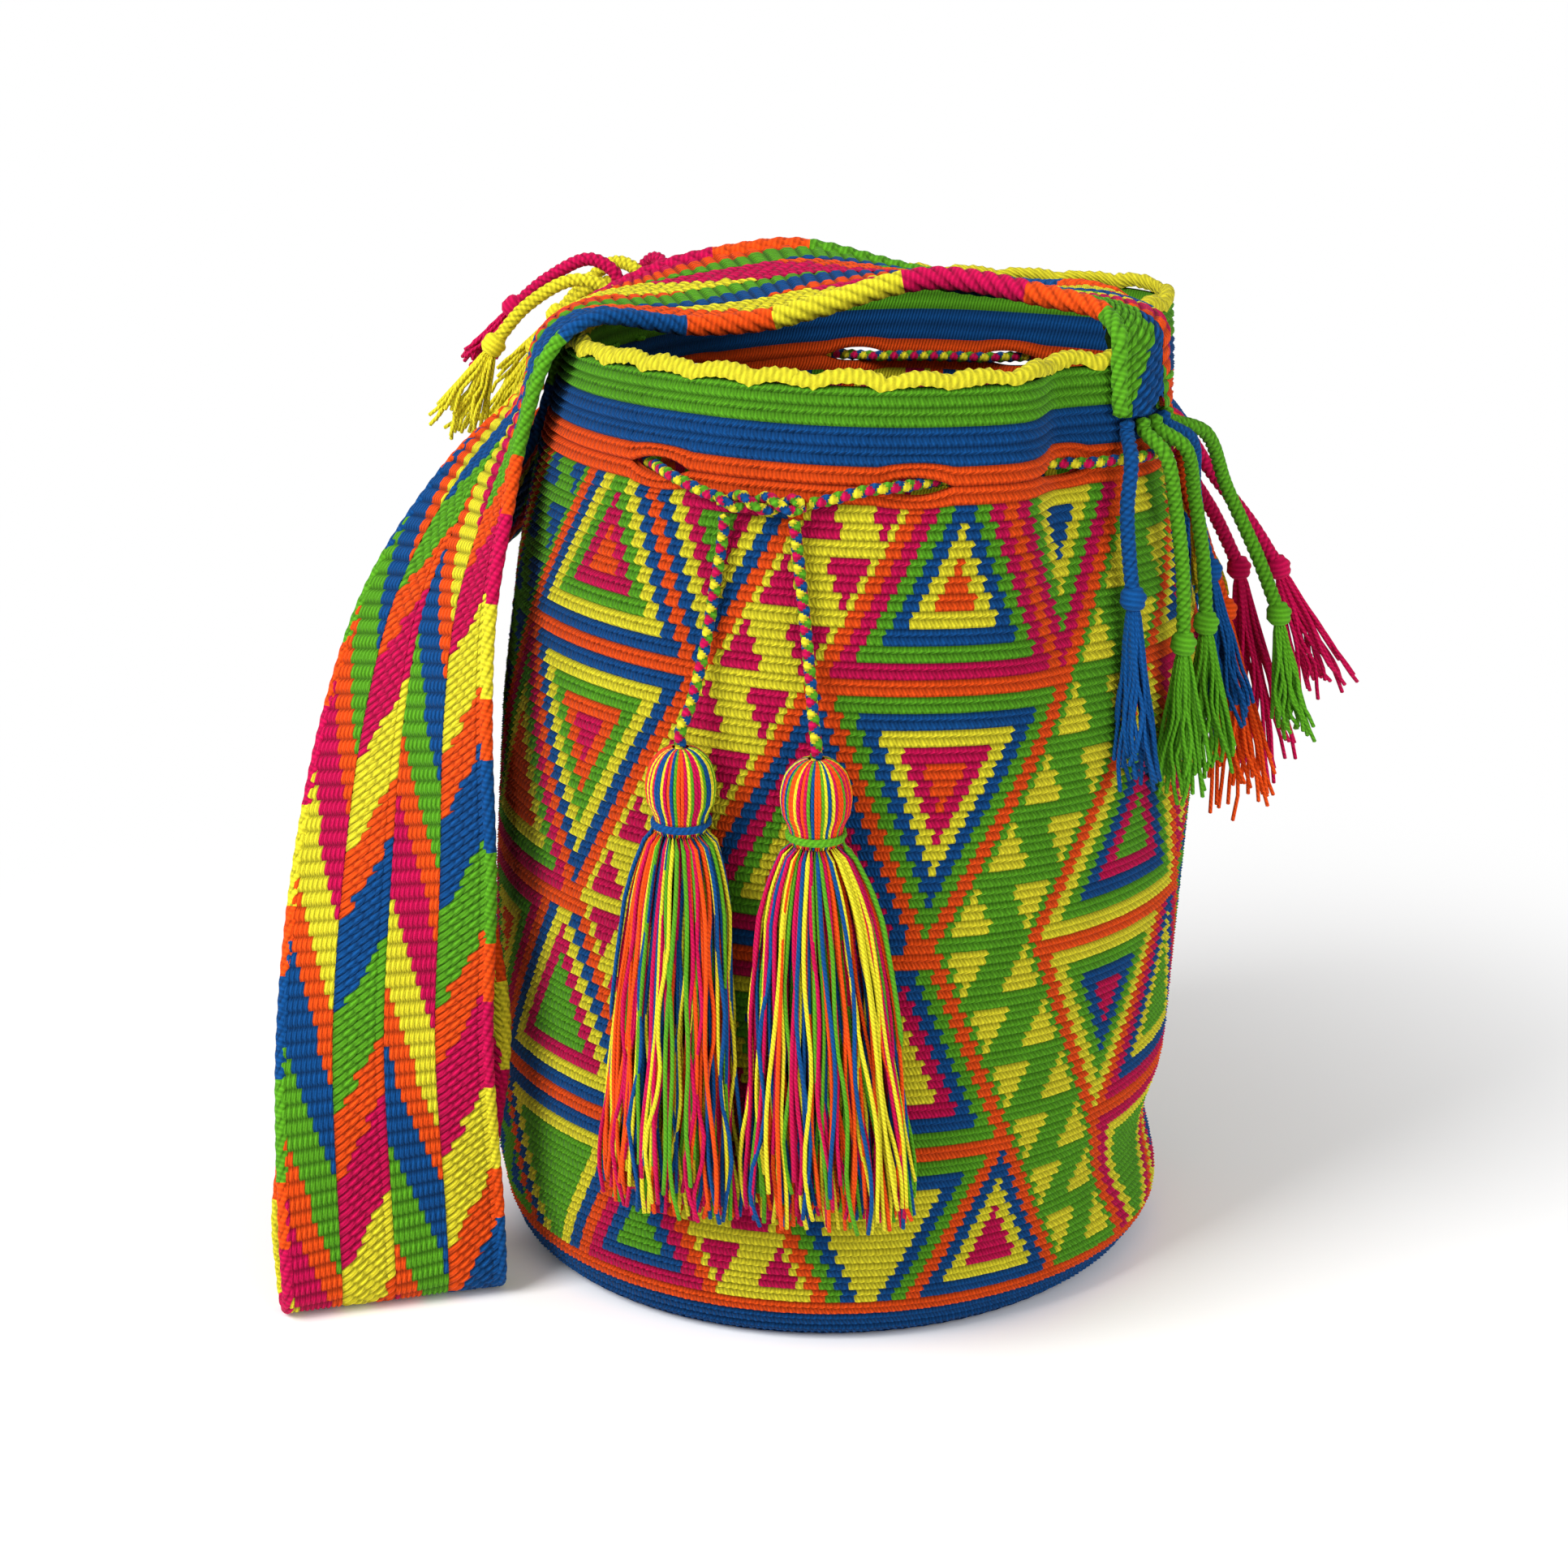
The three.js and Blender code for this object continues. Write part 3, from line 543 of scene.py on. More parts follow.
KNOT_HALF = math.degrees(KNOT_LENGTH / 2 / (MOUTH_R + 4))
KNOT_OFF = SEAT + 0.15 + STRING_D
TASSEL_TOP = STRING_Z - TAIL_DROP
HEAD_Z = TASSEL_TOP - TASSEL_HEAD_R
NECK_SHARE = 0.156
SKIRT_SHARE = 0.19
# Shares of the length at which a tassel's outline is taken: its head, then its skirt
HEAD_ROWS = 12
SHARES = np.concatenate([np.linspace(0, 0.175, HEAD_ROWS), np.linspace(0.2, 1, 13)])


class Tassel:
    """Where one tassel hangs: its line, its directions and its outline down the length."""

    def __init__(self, i):
        self.i = i
        phi = self.phi = TASSEL_ANGLE[i]
        a = math.radians(phi)
        self.n = np.array([math.sin(a), -math.cos(a), 0])
        self.t = np.array([math.cos(a), math.sin(a), 0])
        self.root = outline(phi, HEAD_Z)
        spread = TASSEL_SPREAD[i]
        self.rows = np.array([
            (0, 2.6, 2.6),
            (0.012, 6.4, 6.2),
            (0.035, 9.2, 8.8),
            (0.073, TASSEL_HEAD_R, TASSEL_HEAD_R),
            (0.11, 10, 9.8),
            (0.14, TASSEL_NECK_R, TASSEL_NECK_R),
            (0.175, TASSEL_NECK_R, TASSEL_NECK_R),
            (0.2, 11, 9),
            (0.3, mix(11, spread, 0.45), 9.6),
            (0.5, mix(11, spread, 0.7), 9.8),
            (0.75, mix(11, spread, 0.88), 10.2),
            (0.95, spread, 10),
            (1, spread * 0.98, 9.4),
        ])
        self.head = self.stand_out(HEAD_Z, TASSEL_HEAD_R) + SEAT + TASSEL_HEAD_R
        sections = [self.section(share) for share in SHARES]
        self.middles = np.array([m for m, _, _ in sections])
        self.widths = np.array([(w, d) for _, w, d in sections])

    def stand_out(self, z, half):
        """How far the wall stands out from the plumb line at a height."""
        a = np.arange(self.phi - 34, self.phi + 34.5)
        d = outline(a, z) - self.root
        return (d @ self.n)[np.abs(d @ self.t) <= half].max()

    def section(self, share):
        """Middle, half width and half depth at a share of the length."""
        w = np.interp(share, self.rows[:, 0], self.rows[:, 1])
        d = np.interp(share, self.rows[:, 0], self.rows[:, 2])
        z = TASSEL_TOP - share * TASSEL_LENGTH
        out = self.head
        sway = 0.0
        if share > SKIRT_SHARE:
            lie = self.stand_out(z, w + abs(TASSEL_SWAY[self.i])) + SEAT
            out = max(lie + d, self.head - 1.5)
            sway = TASSEL_SWAY[self.i] * (share - SKIRT_SHARE) / (1 - SKIRT_SHARE)
        middle = self.root * (1, 1, 0) + (0, 0, z) + self.n * out + self.t * sway
        return middle, w, d

    def line(self, alpha, rho, first, last):
        """A thread at an angle round the tassel and a share of its radius."""
        w = self.widths[first:last] * rho
        across = w[:, :1] * math.cos(alpha) * self.t
        return self.middles[first:last] + across + w[:, 1:] * math.sin(alpha) * self.n

    def tail(self):
        """The cord end from the knot to the top of the tassel."""
        top = KNOT_ANGLE + (-0.75, 0.8)[self.i] * KNOT_HALF
        start = wall(top, STRING_Z - STRING_SAG - STRING_D * 0.96 - SEAT, KNOT_OFF)
        end = self.root * (1, 1, 0) + (0, 0, TASSEL_TOP + SEAT) + self.n * self.head
        points = [start]
        for s in (0.12, 0.3, 0.5, 0.7, 0.84):
            p = mix(start, end, s)
            q = p - self.root
            a = np.arange(self.phi - 25, self.phi + 25.5)
            d = outline(a, p[2]) - self.root
            free = (d @ self.n)[np.abs(d @ self.t - q @ self.t) <= 3].max()
            least = free + STRING_OFF + 0.3
            want = max(least, mix(least, self.head, (s - 0.6) / 0.4)) if s > 0.6 else least
            points.append(p + self.n * (want - q @ self.n))
        points += [end + (0, 0, 4), end]
        return catmull(points, 12)


BRAID_PITCH = 7.0
STRING_COLOURS = (GREEN, BLUE, MAGENTA, YELLOW)
CORE_SHARES = (0.06, 0.15, 0.22, 0.3, 0.4, 0.5, 0.58)
THREADS = 236
HEAD_THREADS = 60
THREAD_R = 0.68
THREAD_LAY = 1.5
THREAD_STEP = 4.2
# Most steps that are cut off the end of a thread
CUT_STEPS = 7
# Every so many threads one strays, and how far threads and strays spread at their ends
STRAY = 12
THREAD_SPREAD = 2.4
STRAY_SPREAD = 8
BINDING_COLOURS = (BLUE, GREEN)
BINDING_TURNS = 2
BINDING_R = 0.8
LOOSE_ANGLES = (2.9, 0.25)


def make_threads(tassel, side, body):
    """Threads over the head, a core under them, and the longer threads of the skirt."""
    threads = Yarns()
    colour = 0
    for k in range(HEAD_THREADS):
        if RANDOM.random() < 0.75:
            colour = (colour + RANDOM.integers(1, 5)) % 5
        alpha = 2 * math.pi * (k + 0.35 * RANDOM.random()) / HEAD_THREADS
        path = even(tassel.line(alpha, 0.94, 0, HEAD_ROWS), 2.0)
        threads.tube(path, THREAD_R, colour, 5, lay=THREAD_LAY)
    threads.tube(tassel.middles[:HEAD_ROWS], tassel.widths[:HEAD_ROWS, :1] * 0.86, MAGENTA, 12)
    for k in range(THREADS):
        colour = (colour + RANDOM.integers(1, 5)) % 5
        alpha = 2 * math.pi * (k + RANDOM.normal(0, 1.5)) / THREADS
        rho = 0.97 * math.sqrt(mix(0.2, 1, RANDOM.random()))
        path = tassel.line(alpha, rho, HEAD_ROWS - 1, len(SHARES))
        fall = np.linspace(0, 1, len(path))
        bends = np.sin(RANDOM.uniform(2, 6) * np.pi * fall + 6.3 * RANDOM.random())
        wave = RANDOM.uniform(0.5, 2.6) * fall * bends
        drift = RANDOM.normal(0, STRAY_SPREAD if k % STRAY == 0 else THREAD_SPREAD) * fall**1.5
        path = path + (wave + drift)[:, None] * tassel.t
        path = path + (np.abs(wave[::-1]) * 0.3 * fall)[:, None] * tassel.n
        path = even(path, THREAD_STEP)
        path = path[:len(path) - int(CUT_STEPS * RANDOM.beta(1, 2.2))]
        threads.tube(cut_end(path), THREAD_R, colour, 5 if rho > 0.7 else 4, lay=THREAD_LAY)
    return threads.finish(f"tassel_{side}", body, [f"tassel_{side}_threads"])


def make_binding(tassel, side, body):
    """The yarn wound round the neck, with one loose end in the skirt."""
    winding = Yarns()
    colour = BINDING_COLOURS[tassel.i]
    t = np.linspace(0, BINDING_TURNS * 2 * np.pi, BINDING_TURNS * 20 + 1)
    rise = np.linspace(-0.75, 0.75, len(t))
    r = TASSEL_NECK_R + 0.6
    middle = tassel.section(NECK_SHARE)[0]
    path = middle + r * (np.cos(t)[:, None] * tassel.t + np.sin(t)[:, None] * tassel.n)
    winding.tube(path + rise[:, None] * (0, 0, 1), BINDING_R, colour, 7)
    loose = tassel.line(LOOSE_ANGLES[tassel.i], 1.05, HEAD_ROWS - 2, len(SHARES) - 6)
    winding.tube(even(loose, 4.0), 0.75, colour, 6)
    return winding.finish(f"binding_{side}", body, [f"tassel_{side}_binding"])


def make_tassel(i, side):
    """One tassel and the end of the drawstring that it hangs on, which bends below the knot."""
    tassel = Tassel(i)
    body = "tassel_" + side
    cord = Yarns()
    core = [tassel.section(share)[0] for share in CORE_SHARES]
    tail = braid(cord, np.concatenate([tassel.tail(), core]), STRING_D, STRING_COLOURS, BRAID_PITCH)
    tail_piece = cord.finish(f"tail_{side}", None, [f"drawstring_end_{side}"])
    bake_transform(tail_piece)
    piece = make_threads(tassel, side, body)
    bound = make_binding(tassel, side, body)


# Loose cord ends of the strap

ROPE_PITCH = 10.0
BRUSH_YARNS = 28
BRUSH_YARN_R = 0.68
BRUSH_STEP = 4.0
# Drop of the cords' starts at the right and left end, and distance off the wall there and at the drawstring
LOW = STRAP_TUCK + SEAT + 0.3
TOP = 5 - SEAT + 0.05 - STRAP_T / 2 * RIM_SLOPE
ON = CORD_D / 2 + 0.2
OVER = (STRING_OFF + STRING_D / 2 + CORD_D / 2 + 1.2) * SLANT
# Name, angle of the start, route as angle, drop and distance, then the brush's tip and flare
RIGHT_FRINGE = [
    ("blue_1", 64.5, (63, 31, OVER + 0.3), (62, 45, 7), (62, 60, 6), (62, 71, 6), (62, 130, 8), 5.5),
    ("green_1", 68, (69, 31, OVER + 0.6), (71, 48, 8), (72, 68, 8), (72, 88, 8), (73, 138, 9), 7),
    ("green_2", 71.5, (74.5, 31, OVER + 0.6), (79, 48, 8), (81, 68, 8), (80.5, 86, 8), (81, 134, 10), 7),
    ("blue_2", 75, (79.5, 31, OVER + 0.8), (86, 48, 8), (89.5, 62, 7.5), (90.5, 75, 7.5),
     (91.5, 128, 11), 7),
    ("orange_1", 82, (88, 31, OVER + 0.6), (95, 50, 8), (99, 72, 8), (100, 92, 9), (98, 160, 19), 9.5),
    ("green_3", 78.5, (83.8, 31, OVER + 6.1), (90, 50, 19), (94, 72, 23), (95, 90, 26), (96, 132, 32), 5.5),
    ("magenta_1", 85.2, (91.8, 30, OVER + 2.2), (98.5, 48, 18), (103, 66, 25), (104, 80, 29),
     (106, 124, 41), 8.5),
    ("magenta_2", 89.3, (96.6, 30, OVER + 1.2), (105, 48, 11), (110, 66, 14), (111.5, 84, 17),
     (112, 156, 27), 9.5),
    ("yellow_1", 94.6, (104.4, 31, OVER + 1.6), (110.5, 43, 10), (113, 54, 9.5), (115, 64, 8),
     (116, 96, 8), 4.4),
    ("blue_3", 99.9, (113, 29, OVER + 0.6), (120, 37, 7), (127, 48, 6.5), (130, 62, 6.5),
     (129, 136, 11), 6),
]
LEFT_FRINGE = [
    ("yellow_1", -100.5, (-100, -5, 4), (-98, -7.5, 14), (-95, 1, 27), (-93, 14, 33), (-90, 46, 38), 7),
    ("magenta_1", -103.6, (-103.8, -8, 4), (-103, -13, 14), (-101.5, -6, 28), (-100.5, 4, 38),
     (-99, 26, 47), 4.2),
    ("yellow_2", -106.7, (-107, -4, 4.5), (-106, -4, 14), (-104, 7, 24), (-102.5, 18, 28),
     (-100, 54, 33), 7),
    ("yellow_3", -109.8, (-110.5, -7, 4), (-110.5, -10, 14), (-110, -1, 27), (-109.5, 10, 34),
     (-107, 42, 42), 7),
    ("orange_1", -112.9, (-114, -4, 4.5), (-114.5, -3.5, 13), (-114, 8, 22), (-113.5, 20, 25),
     (-110, 58, 29), 6.5),
    ("magenta_2", -116, (-117.5, -7, 4), (-119, -9, 13), (-119.5, 0, 24), (-119.5, 12, 30),
     (-119, 40, 34), 4.4),
]


def make_brush(name, colour, end, tip, flare):
    """The end knot of a cord and the frayed yarns below it."""
    length = np.linalg.norm(tip - end)
    down = (tip - end) / length
    side = np.cross(down, (0.2, 0.9, 0.3))
    side /= np.linalg.norm(side)
    up = np.cross(down, side)
    yarns = Yarns()
    t = np.linspace(0, 1, 9)
    bulge = CORD_KNOT_D / 2 * (0.55 + 0.45 * np.sin(np.pi * t))
    rings = np.abs(np.cos(np.pi * (2.5 * t[:, None] + np.arange(12) / 12)))
    knot = end + (t - 0.45)[:, None] * CORD_KNOT_D * down
    yarns.tube(knot, bulge[:, None] * (0.86 + 0.16 * rings), colour, 12)
    for k in range(BRUSH_YARNS):
        alpha = 2 * math.pi * (k + RANDOM.random()) / BRUSH_YARNS
        rho = math.sqrt(mix(0.08, 1, RANDOM.random()))
        out = math.cos(alpha) * side + math.sin(alpha) * up
        reach = RANDOM.uniform(0.72, 1.0)
        spread = mix(1.6, flare * 1.35, t**1.1) * rho
        wave = 1.7 * t * np.sin(RANDOM.uniform(2, 5) * np.pi * t + 6.3 * RANDOM.random())
        yarn = end + (2 + t * (length * reach - 2))[:, None] * down + spread[:, None] * out
        yarn = yarn + wave[:, None] * np.cross(down, out)
        yarns.tube(cut_end(even(yarn, BRUSH_STEP)), BRUSH_YARN_R, colour, 5)
    return yarns.finish(name, "bag")


def make_fringe(name, colour, path, brush, flare):
    """A twisted cord, which leaves the strap's end straight, with its knot and brush."""
    points = [wall(phi, HEIGHT - drop, off) for phi, drop, off in path]
    straight = -3.5 if path[1][1] > path[0][1] else 3.5
    points.insert(1, points[0] + (0, 0, straight))
    cord = Yarns()
    line = rope(cord, catmull(points, 12), CORD_D, [colour] * 4, ROPE_PITCH)
    cord_piece = cord.finish(name + "_cord", "bag", [name])
    tip = wall(brush[0], HEIGHT - brush[1], brush[2])
    brush_piece = make_brush(name + "_brush", colour, line[-1], tip, flare)


# Drawstring through the eyelets, and its half knot

def make_drawstring():
    """The braid goes in at one eyelet and out at the next. Two lengths wound together make the knot."""
    change = math.degrees(EYELET_W * 0.46 / MOUTH_R)
    phi = np.linspace(KNOT_ANGLE + KNOT_HALF + 0.4, 360 + KNOT_ANGLE - KNOT_HALF - 0.4, 265)
    inside = np.zeros_like(phi)
    for i, e in enumerate(EYELETS):
        inside += (1 if i % 2 == 0 else -1) * smoothstep(phi, e - change, e + change)
    line = wall(phi, STRING_Z - string_sag(phi), mix(STRING_OFF, -WALL - STRING_OFF, inside))
    loop = Yarns()
    braid(loop, line, STRING_D, STRING_COLOURS, BRAID_PITCH)
    loop.finish("drawstring", "bag", ["drawstring_loop"])

    knot = Yarns()
    t = np.linspace(0, 1, 60)
    knot_phi = KNOT_ANGLE + mix(-KNOT_HALF, KNOT_HALF, t)
    line = wall(knot_phi, STRING_Z - string_sag(knot_phi), KNOT_OFF)
    side, up = frames(line)
    for turn in (0, np.pi):
        a = (3.2 * np.pi * t + turn)[:, None]
        r = (STRING_D * 0.52 * np.minimum(1, 6 * np.minimum(t, 1 - t) + 0.2))[:, None]
        way = line + r * (np.cos(a) * side + np.sin(a) * up)
        braid(knot, way, STRING_D * 0.92, STRING_COLOURS, BRAID_PITCH)
    knot.finish("knot", "bag", ["drawstring_knot"])


# Crocheted pattern: slanting bands of small triangles, and striped triangles between them

BANDS = [(YELLOW, MAGENTA), (GREEN, YELLOW), (GREEN, BLUE)]
BAND_W = 13
ZONE_W = 32
LINE_ROWS = (11, 28, 41)
# Four tiers of two triangles in each zone: stripes from edge to middle, as initials of the yarns
ZONES = [
    [("mgbyo", "mgyb"), ("bmgyo", "gbymo"), ("mygb", "gbmy"), ("gby", "bym")],
    [("ybmgo", "ymbg"), ("ygbmg", "mybgo"), ("ygbm", "mbyg"), ("myg", "ymb")],
    [("bygmo", "bymg"), ("mgyo", "bygom"), ("mgyo", "bymg"), ("byg", "mbg")],
]


def stripe(colours, width, cell, depth):
    """Colour inside a triangle, two stitches a stripe."""
    return INITIALS.index(colours[min(cell // 2, (width - 1 - cell) // 2, depth, len(colours) - 1)])


def band_cell(r, v, number):
    """Colour in a band: small triangles at both edges, three rows high, with a plain row between."""
    ground, figure = BANDS[number]
    q = r % 4
    if q == 3:
        return ground
    if r <= TURN_ROW:
        small = 1 <= v < 2 + 2 * q or BAND_W - 6 + 2 * q <= v < BAND_W - 1
    else:
        small = 1 <= v < 6 - 2 * q or BAND_W - 2 - 2 * q <= v < BAND_W - 1
    return figure if small else ground


def zone_cell(r, w, number):
    """Colour in a zone: tiers of two striped triangles, with orange lines between."""
    if r in LINE_ROWS:
        return ORANGE
    if r < LINE_ROWS[0]:
        tier, first, depths = 0, 2 * r + 9, (10 - r, r + 1)
    elif r < LINE_ROWS[1]:
        tier, first, depths = 1, min(2 * (r - 12) + 1, 30), (27 - r, r - 12)
    elif r < LINE_ROWS[2]:
        tier, first, depths = 2, 23 - 2 * (r - 29), (r - 29, 40 - r)
    else:
        tier, first, depths = 3, 29 - 2 * (r - 42), (r - 42, 51 - r)
    left, right = ZONES[number][tier]
    if w < first:
        return stripe(left, first, w, depths[0])
    if w < first + 2:
        return ORANGE
    return stripe(right, ZONE_W - first - 2, w - first - 2, depths[1])


def pattern_row(r):
    """Colours of one row: bands and zones by turns. They slant a stitch a row and turn back at one row."""
    row = []
    for s in range(STITCHES):
        number, u = divmod(s - abs(TURN_ROW - r), REPEAT)
        if u < 2 or BAND_W + 2 <= u < BAND_W + 4:
            row.append(ORANGE)
        elif u < BAND_W + 2:
            row.append(band_cell(r, u - 2, number % 3))
        else:
            row.append(zone_cell(r, u - BAND_W - 4, number % 3))
    return row


EDGING_Z = 298.0
PATTERN_Z = 265.8
PATTERN_END = 14.6


def crochet_rows():
    """Rows from the bottom up: lower height, upper height, colours, and the number that sets the drift."""
    rows = []
    plain = [[colour] * STITCHES for colour in (GREEN, GREEN, BLUE, BLUE, ORANGE, ORANGE)]
    z = [*np.linspace(EDGING_Z, STRING_Z, len(plain)), PATTERN_Z]
    for i, colours in enumerate(plain):
        rows.append((z[i + 1], z[i], colours, i - len(plain)))
    z = np.linspace(PATTERN_Z, PATTERN_END, PATTERN_ROWS + 1)
    for i in range(PATTERN_ROWS):
        rows.append((z[i + 1], z[i], pattern_row(i + 1), i))
    foot = np.linspace(PATTERN_END, 0.4, 4)
    for i, colour in enumerate((ORANGE, BLUE, BLUE)):
        rows.append((foot[i + 1], foot[i], [colour] * STITCHES, PATTERN_ROWS + i))
    return rows[::-1]


ROW_SAG = 5.0
WALL_COLUMNS = 2 * STITCHES
STITCH_TURN = 360 / STITCHES
# Height up a row, lean in stitches, distance out in mm, phase of the plies, and depth, the painted shade
# between the rows (0 is darkest)
STROKES = [
    (0.0, 0.12, -1.5, 0.0, 0.0),
    (0.27, 0.02, 0.45, 0.5, 1.0),
    (0.57, -0.08, -0.8, 1.0, 0.2),
    (0.79, 0.4, 0.35, 0.45, 1.0),
]
# How far the gap between two stitches lies in, and its share of the depth, which paints shade into that gap
GROOVE = 0.62
GROOVE_DEPTH = 0.62
# Height up a row, distance out in mm, and depth, the painted shade between the rows inside
INSIDE_STROKES = [(0.0, 0.3, 0.2), (0.5, -0.45, 1.0)]
PLIES = 2.0
# Unevenness of the stitches: round the bag in stitches, out in mm, and out in mm inside
UNEVEN = (0.04, 0.09, 0.08)
EYELET_REACH = 9


def row_sag(phi, z):
    """Rows ride higher on the left of the bag than on the right."""
    return -ROW_SAG * np.sin(np.radians(phi)) * np.sin(np.pi * np.clip(z / HEIGHT, 0, 1))


def eyelet_gap(phi):
    """Half the height of the slit at an angle: 0 away from the eyelets."""
    gap = np.zeros(np.shape(phi))
    for e in EYELETS:
        x = np.clip(np.abs(around(phi, e)) / math.degrees(EYELET_W / 2 / MOUTH_R), 0, 1)
        gap = np.maximum(gap, EYELET_H / 2 * (1 - x**2.2))
    return gap


def part_rows(phi, z, side):
    """Rows above (side 1) and below (side -1) the drawstring, drawn apart at the eyelets."""
    near = np.clip(1 - np.abs(z - STRING_Z) / EYELET_REACH, 0, 1)
    return z + side * eyelet_gap(phi) * near


def wall_outside(part, side, pieces):
    """Rows of stitches, with two columns of points to a stitch, shared out to the pieces of the wall."""
    levels = [
        (mix(low, high, b), lean, out, phase, depth, number, b)
        for low, high, _, number in part for b, lean, out, phase, depth in STROKES
    ]
    levels.append((part[-1][1], *STROKES[0][1:], part[-1][3] - 1, 0))
    z, lean, out, phase, depth, number, b = [np.array(v)[:, None] for v in zip(*levels)]
    i = np.arange(WALL_COLUMNS + 1)[None, :]
    phi = FIRST_STITCH + (i / 2 + lean) * STITCH_TURN - ROW_DRIFT * (number - TURN_ROW)
    shake = RANDOM.normal(0, 1, (2, len(levels), WALL_COLUMNS + 1))
    shake[:, :, -1] = shake[:, :, 0]
    ridge = np.where((i % 2 == 0) & (b > 0), -GROOVE, 0)
    phi = phi + UNEVEN[0] * STITCH_TURN * shake[0]
    z = part_rows(phi, z + row_sag(phi, z), side)
    points = wall(phi, z, out + ridge + UNEVEN[1] * shake[1])
    colours = np.repeat(np.repeat(np.array([row[2] for row in part]), len(STROKES), 0), 2, 1)
    uv = np.stack(np.broadcast_arrays(PLIES * i / 2 + phase, z / 10), -1)
    # Painted shade, darker in the gaps between rows and between stitches
    depth = depth * np.where(i % 2 == 0, GROOVE_DEPTH, 1.0)
    for a, c, cloth in pieces:
        cloth.grid(points[:, a:c + 1], colours[:, a:c], uv[:, a:c + 1], depth[:, a:c + 1])


def wall_inside(part, side, cloth):
    """The same rows, flatter and seen from the other side."""
    levels = [
        (mix(low, high, b), -WALL + out, depth, number)
        for low, high, _, number in part for b, out, depth in INSIDE_STROKES
    ]
    levels.append((part[-1][1], -WALL + INSIDE_STROKES[0][1], INSIDE_STROKES[0][2], part[-1][3] - 1))
    z, out, depth, number = [np.array(v)[:, None] for v in zip(*levels)]
    k = np.arange(STITCHES + 1)[None, ::-1]
    phi = FIRST_STITCH + k * STITCH_TURN - ROW_DRIFT * (number - TURN_ROW)
    z = np.maximum(z, BASE_T)
    z = part_rows(phi, z + row_sag(phi, z), side)
    points = wall(phi, z, out + RANDOM.normal(0, UNEVEN[2], phi.shape))
    points[:, -1] = points[:, 0]
    colours = np.repeat(np.array([row[2][::-1] for row in part]), len(INSIDE_STROKES), 0)
    uv = np.stack(np.broadcast_arrays(PLIES * k + z / 4.5, z / 10), -1)
    # depth paints shade between the rows
    cloth.grid(points, colours, uv, depth)


def make_wall():
    """The wall in two halves and its inside, each with the rows below and above the drawstring."""
    rows = crochet_rows()
    low_rows = [row for row in rows if row[1] <= STRING_Z + 0.1]
    half = WALL_COLUMNS // 2
    halves = {"wall_right": (0, half, Yarns()), "wall_left": (half, WALL_COLUMNS, Yarns())}
    inside = Yarns()
    for part, side in ((low_rows, -1), (rows[len(low_rows):], 1)):
        wall_outside(part, side, halves.values())
        wall_inside(part, side, inside)
    for name, (_, _, cloth) in halves.items():
        cloth.finish(name, "bag", ["bag_body"], "crocheted_cotton")
    inside.finish("wall_inside", "bag", slot="crocheted_cotton")


SCALLOPS = 32
EDGING_COLUMNS = 392
EDGING_R = 2.25
EDGING_LUMPS = (0.16, 0.3)
BASE_COLUMNS = 196
BASE_ROUNDS = 20


def make_rim():
    """Yellow edging: one row of full stitches over the rim, drawn up into scallops."""
    i = np.arange(EDGING_COLUMNS + 1)[None, :]
    a = np.radians(np.linspace(-35, 215, 13))[:, None]
    phi = i * 360 / EDGING_COLUMNS + np.sin(a) * 1.1
    crest = np.abs(np.sin(np.pi * SCALLOPS * (phi - 4) / 360)) ** 0.6
    lumps = RANDOM.normal(0, 1, (2, EDGING_COLUMNS // 4))
    lumps = np.concatenate([lumps, lumps[:, :1]], axis=1)
    lumps = np.repeat(lumps, 4, axis=1)[:, :EDGING_COLUMNS + 1]
    ridge = np.where(i % 2 == 1, 0.28, -0.16) + 0.1 * np.cos(2 * a) + EDGING_LUMPS[0] * lumps[0]
    r = EDGING_R + ridge
    off = -WALL / 2 + r * np.cos(a)
    z = EDGING_Z + 0.6 + 1.7 * crest + 1.15 * r * np.sin(a) - (1 - crest) * 0.3 + EDGING_LUMPS[1] * lumps[1]
    uv = np.stack(np.broadcast_arrays(i * 0.8 + a, a), -1)
    rim = Yarns()
    points = wall(phi, z, off)
    # Painted shade over the whole edging, darkest in the gaps between its stitches
    depth = np.broadcast_to(np.where(i % 2 == 1, 0.72, 0.42), points.shape[:2])
    rim.grid(points, YELLOW, uv, depth)
    rim.finish("edging", "bag", slot="yellow_yarn")


def make_base():
    """Rounds of the base, seen from below and from inside."""
    base = Yarns()
    i = np.arange(BASE_COLUMNS + 1)
    phi = i * 360 / BASE_COLUMNS
    for low, way, share_out in ((True, 1, 1.0), (False, -1, 0.965)):
        rings = []
        for k in range(2 * BASE_ROUNDS + 1):
            share = share_out * (1 - k / (2 * BASE_ROUNDS)) + 0.002
            ring = wall(phi[::way], 1.0, 0) * share
            bump = 0.5 * (k % 2) + 0.25 * (i % 2)
            ring[:, 2] = 1.0 - 0.9 * bump if low else BASE_T - 0.4 + 0.9 * bump
            rings.append(ring)
        points = np.array(rings)[::-1]
        uv = np.stack(np.broadcast_arrays(0.7 * i[None, :], 0.5 * np.arange(len(rings))[:, None]), -1)
        base.grid(points, BLUE, uv)
    base.finish("base", "bag", slot="blue_yarn")


# Strap: stations along the band, each from its near edge to its far edge

RAILS = 7
STRAP_OFF = SEAT + 0.25
STRAP_HALF = math.degrees(STRAP_W / 2 / (MOUTH_R + 4))
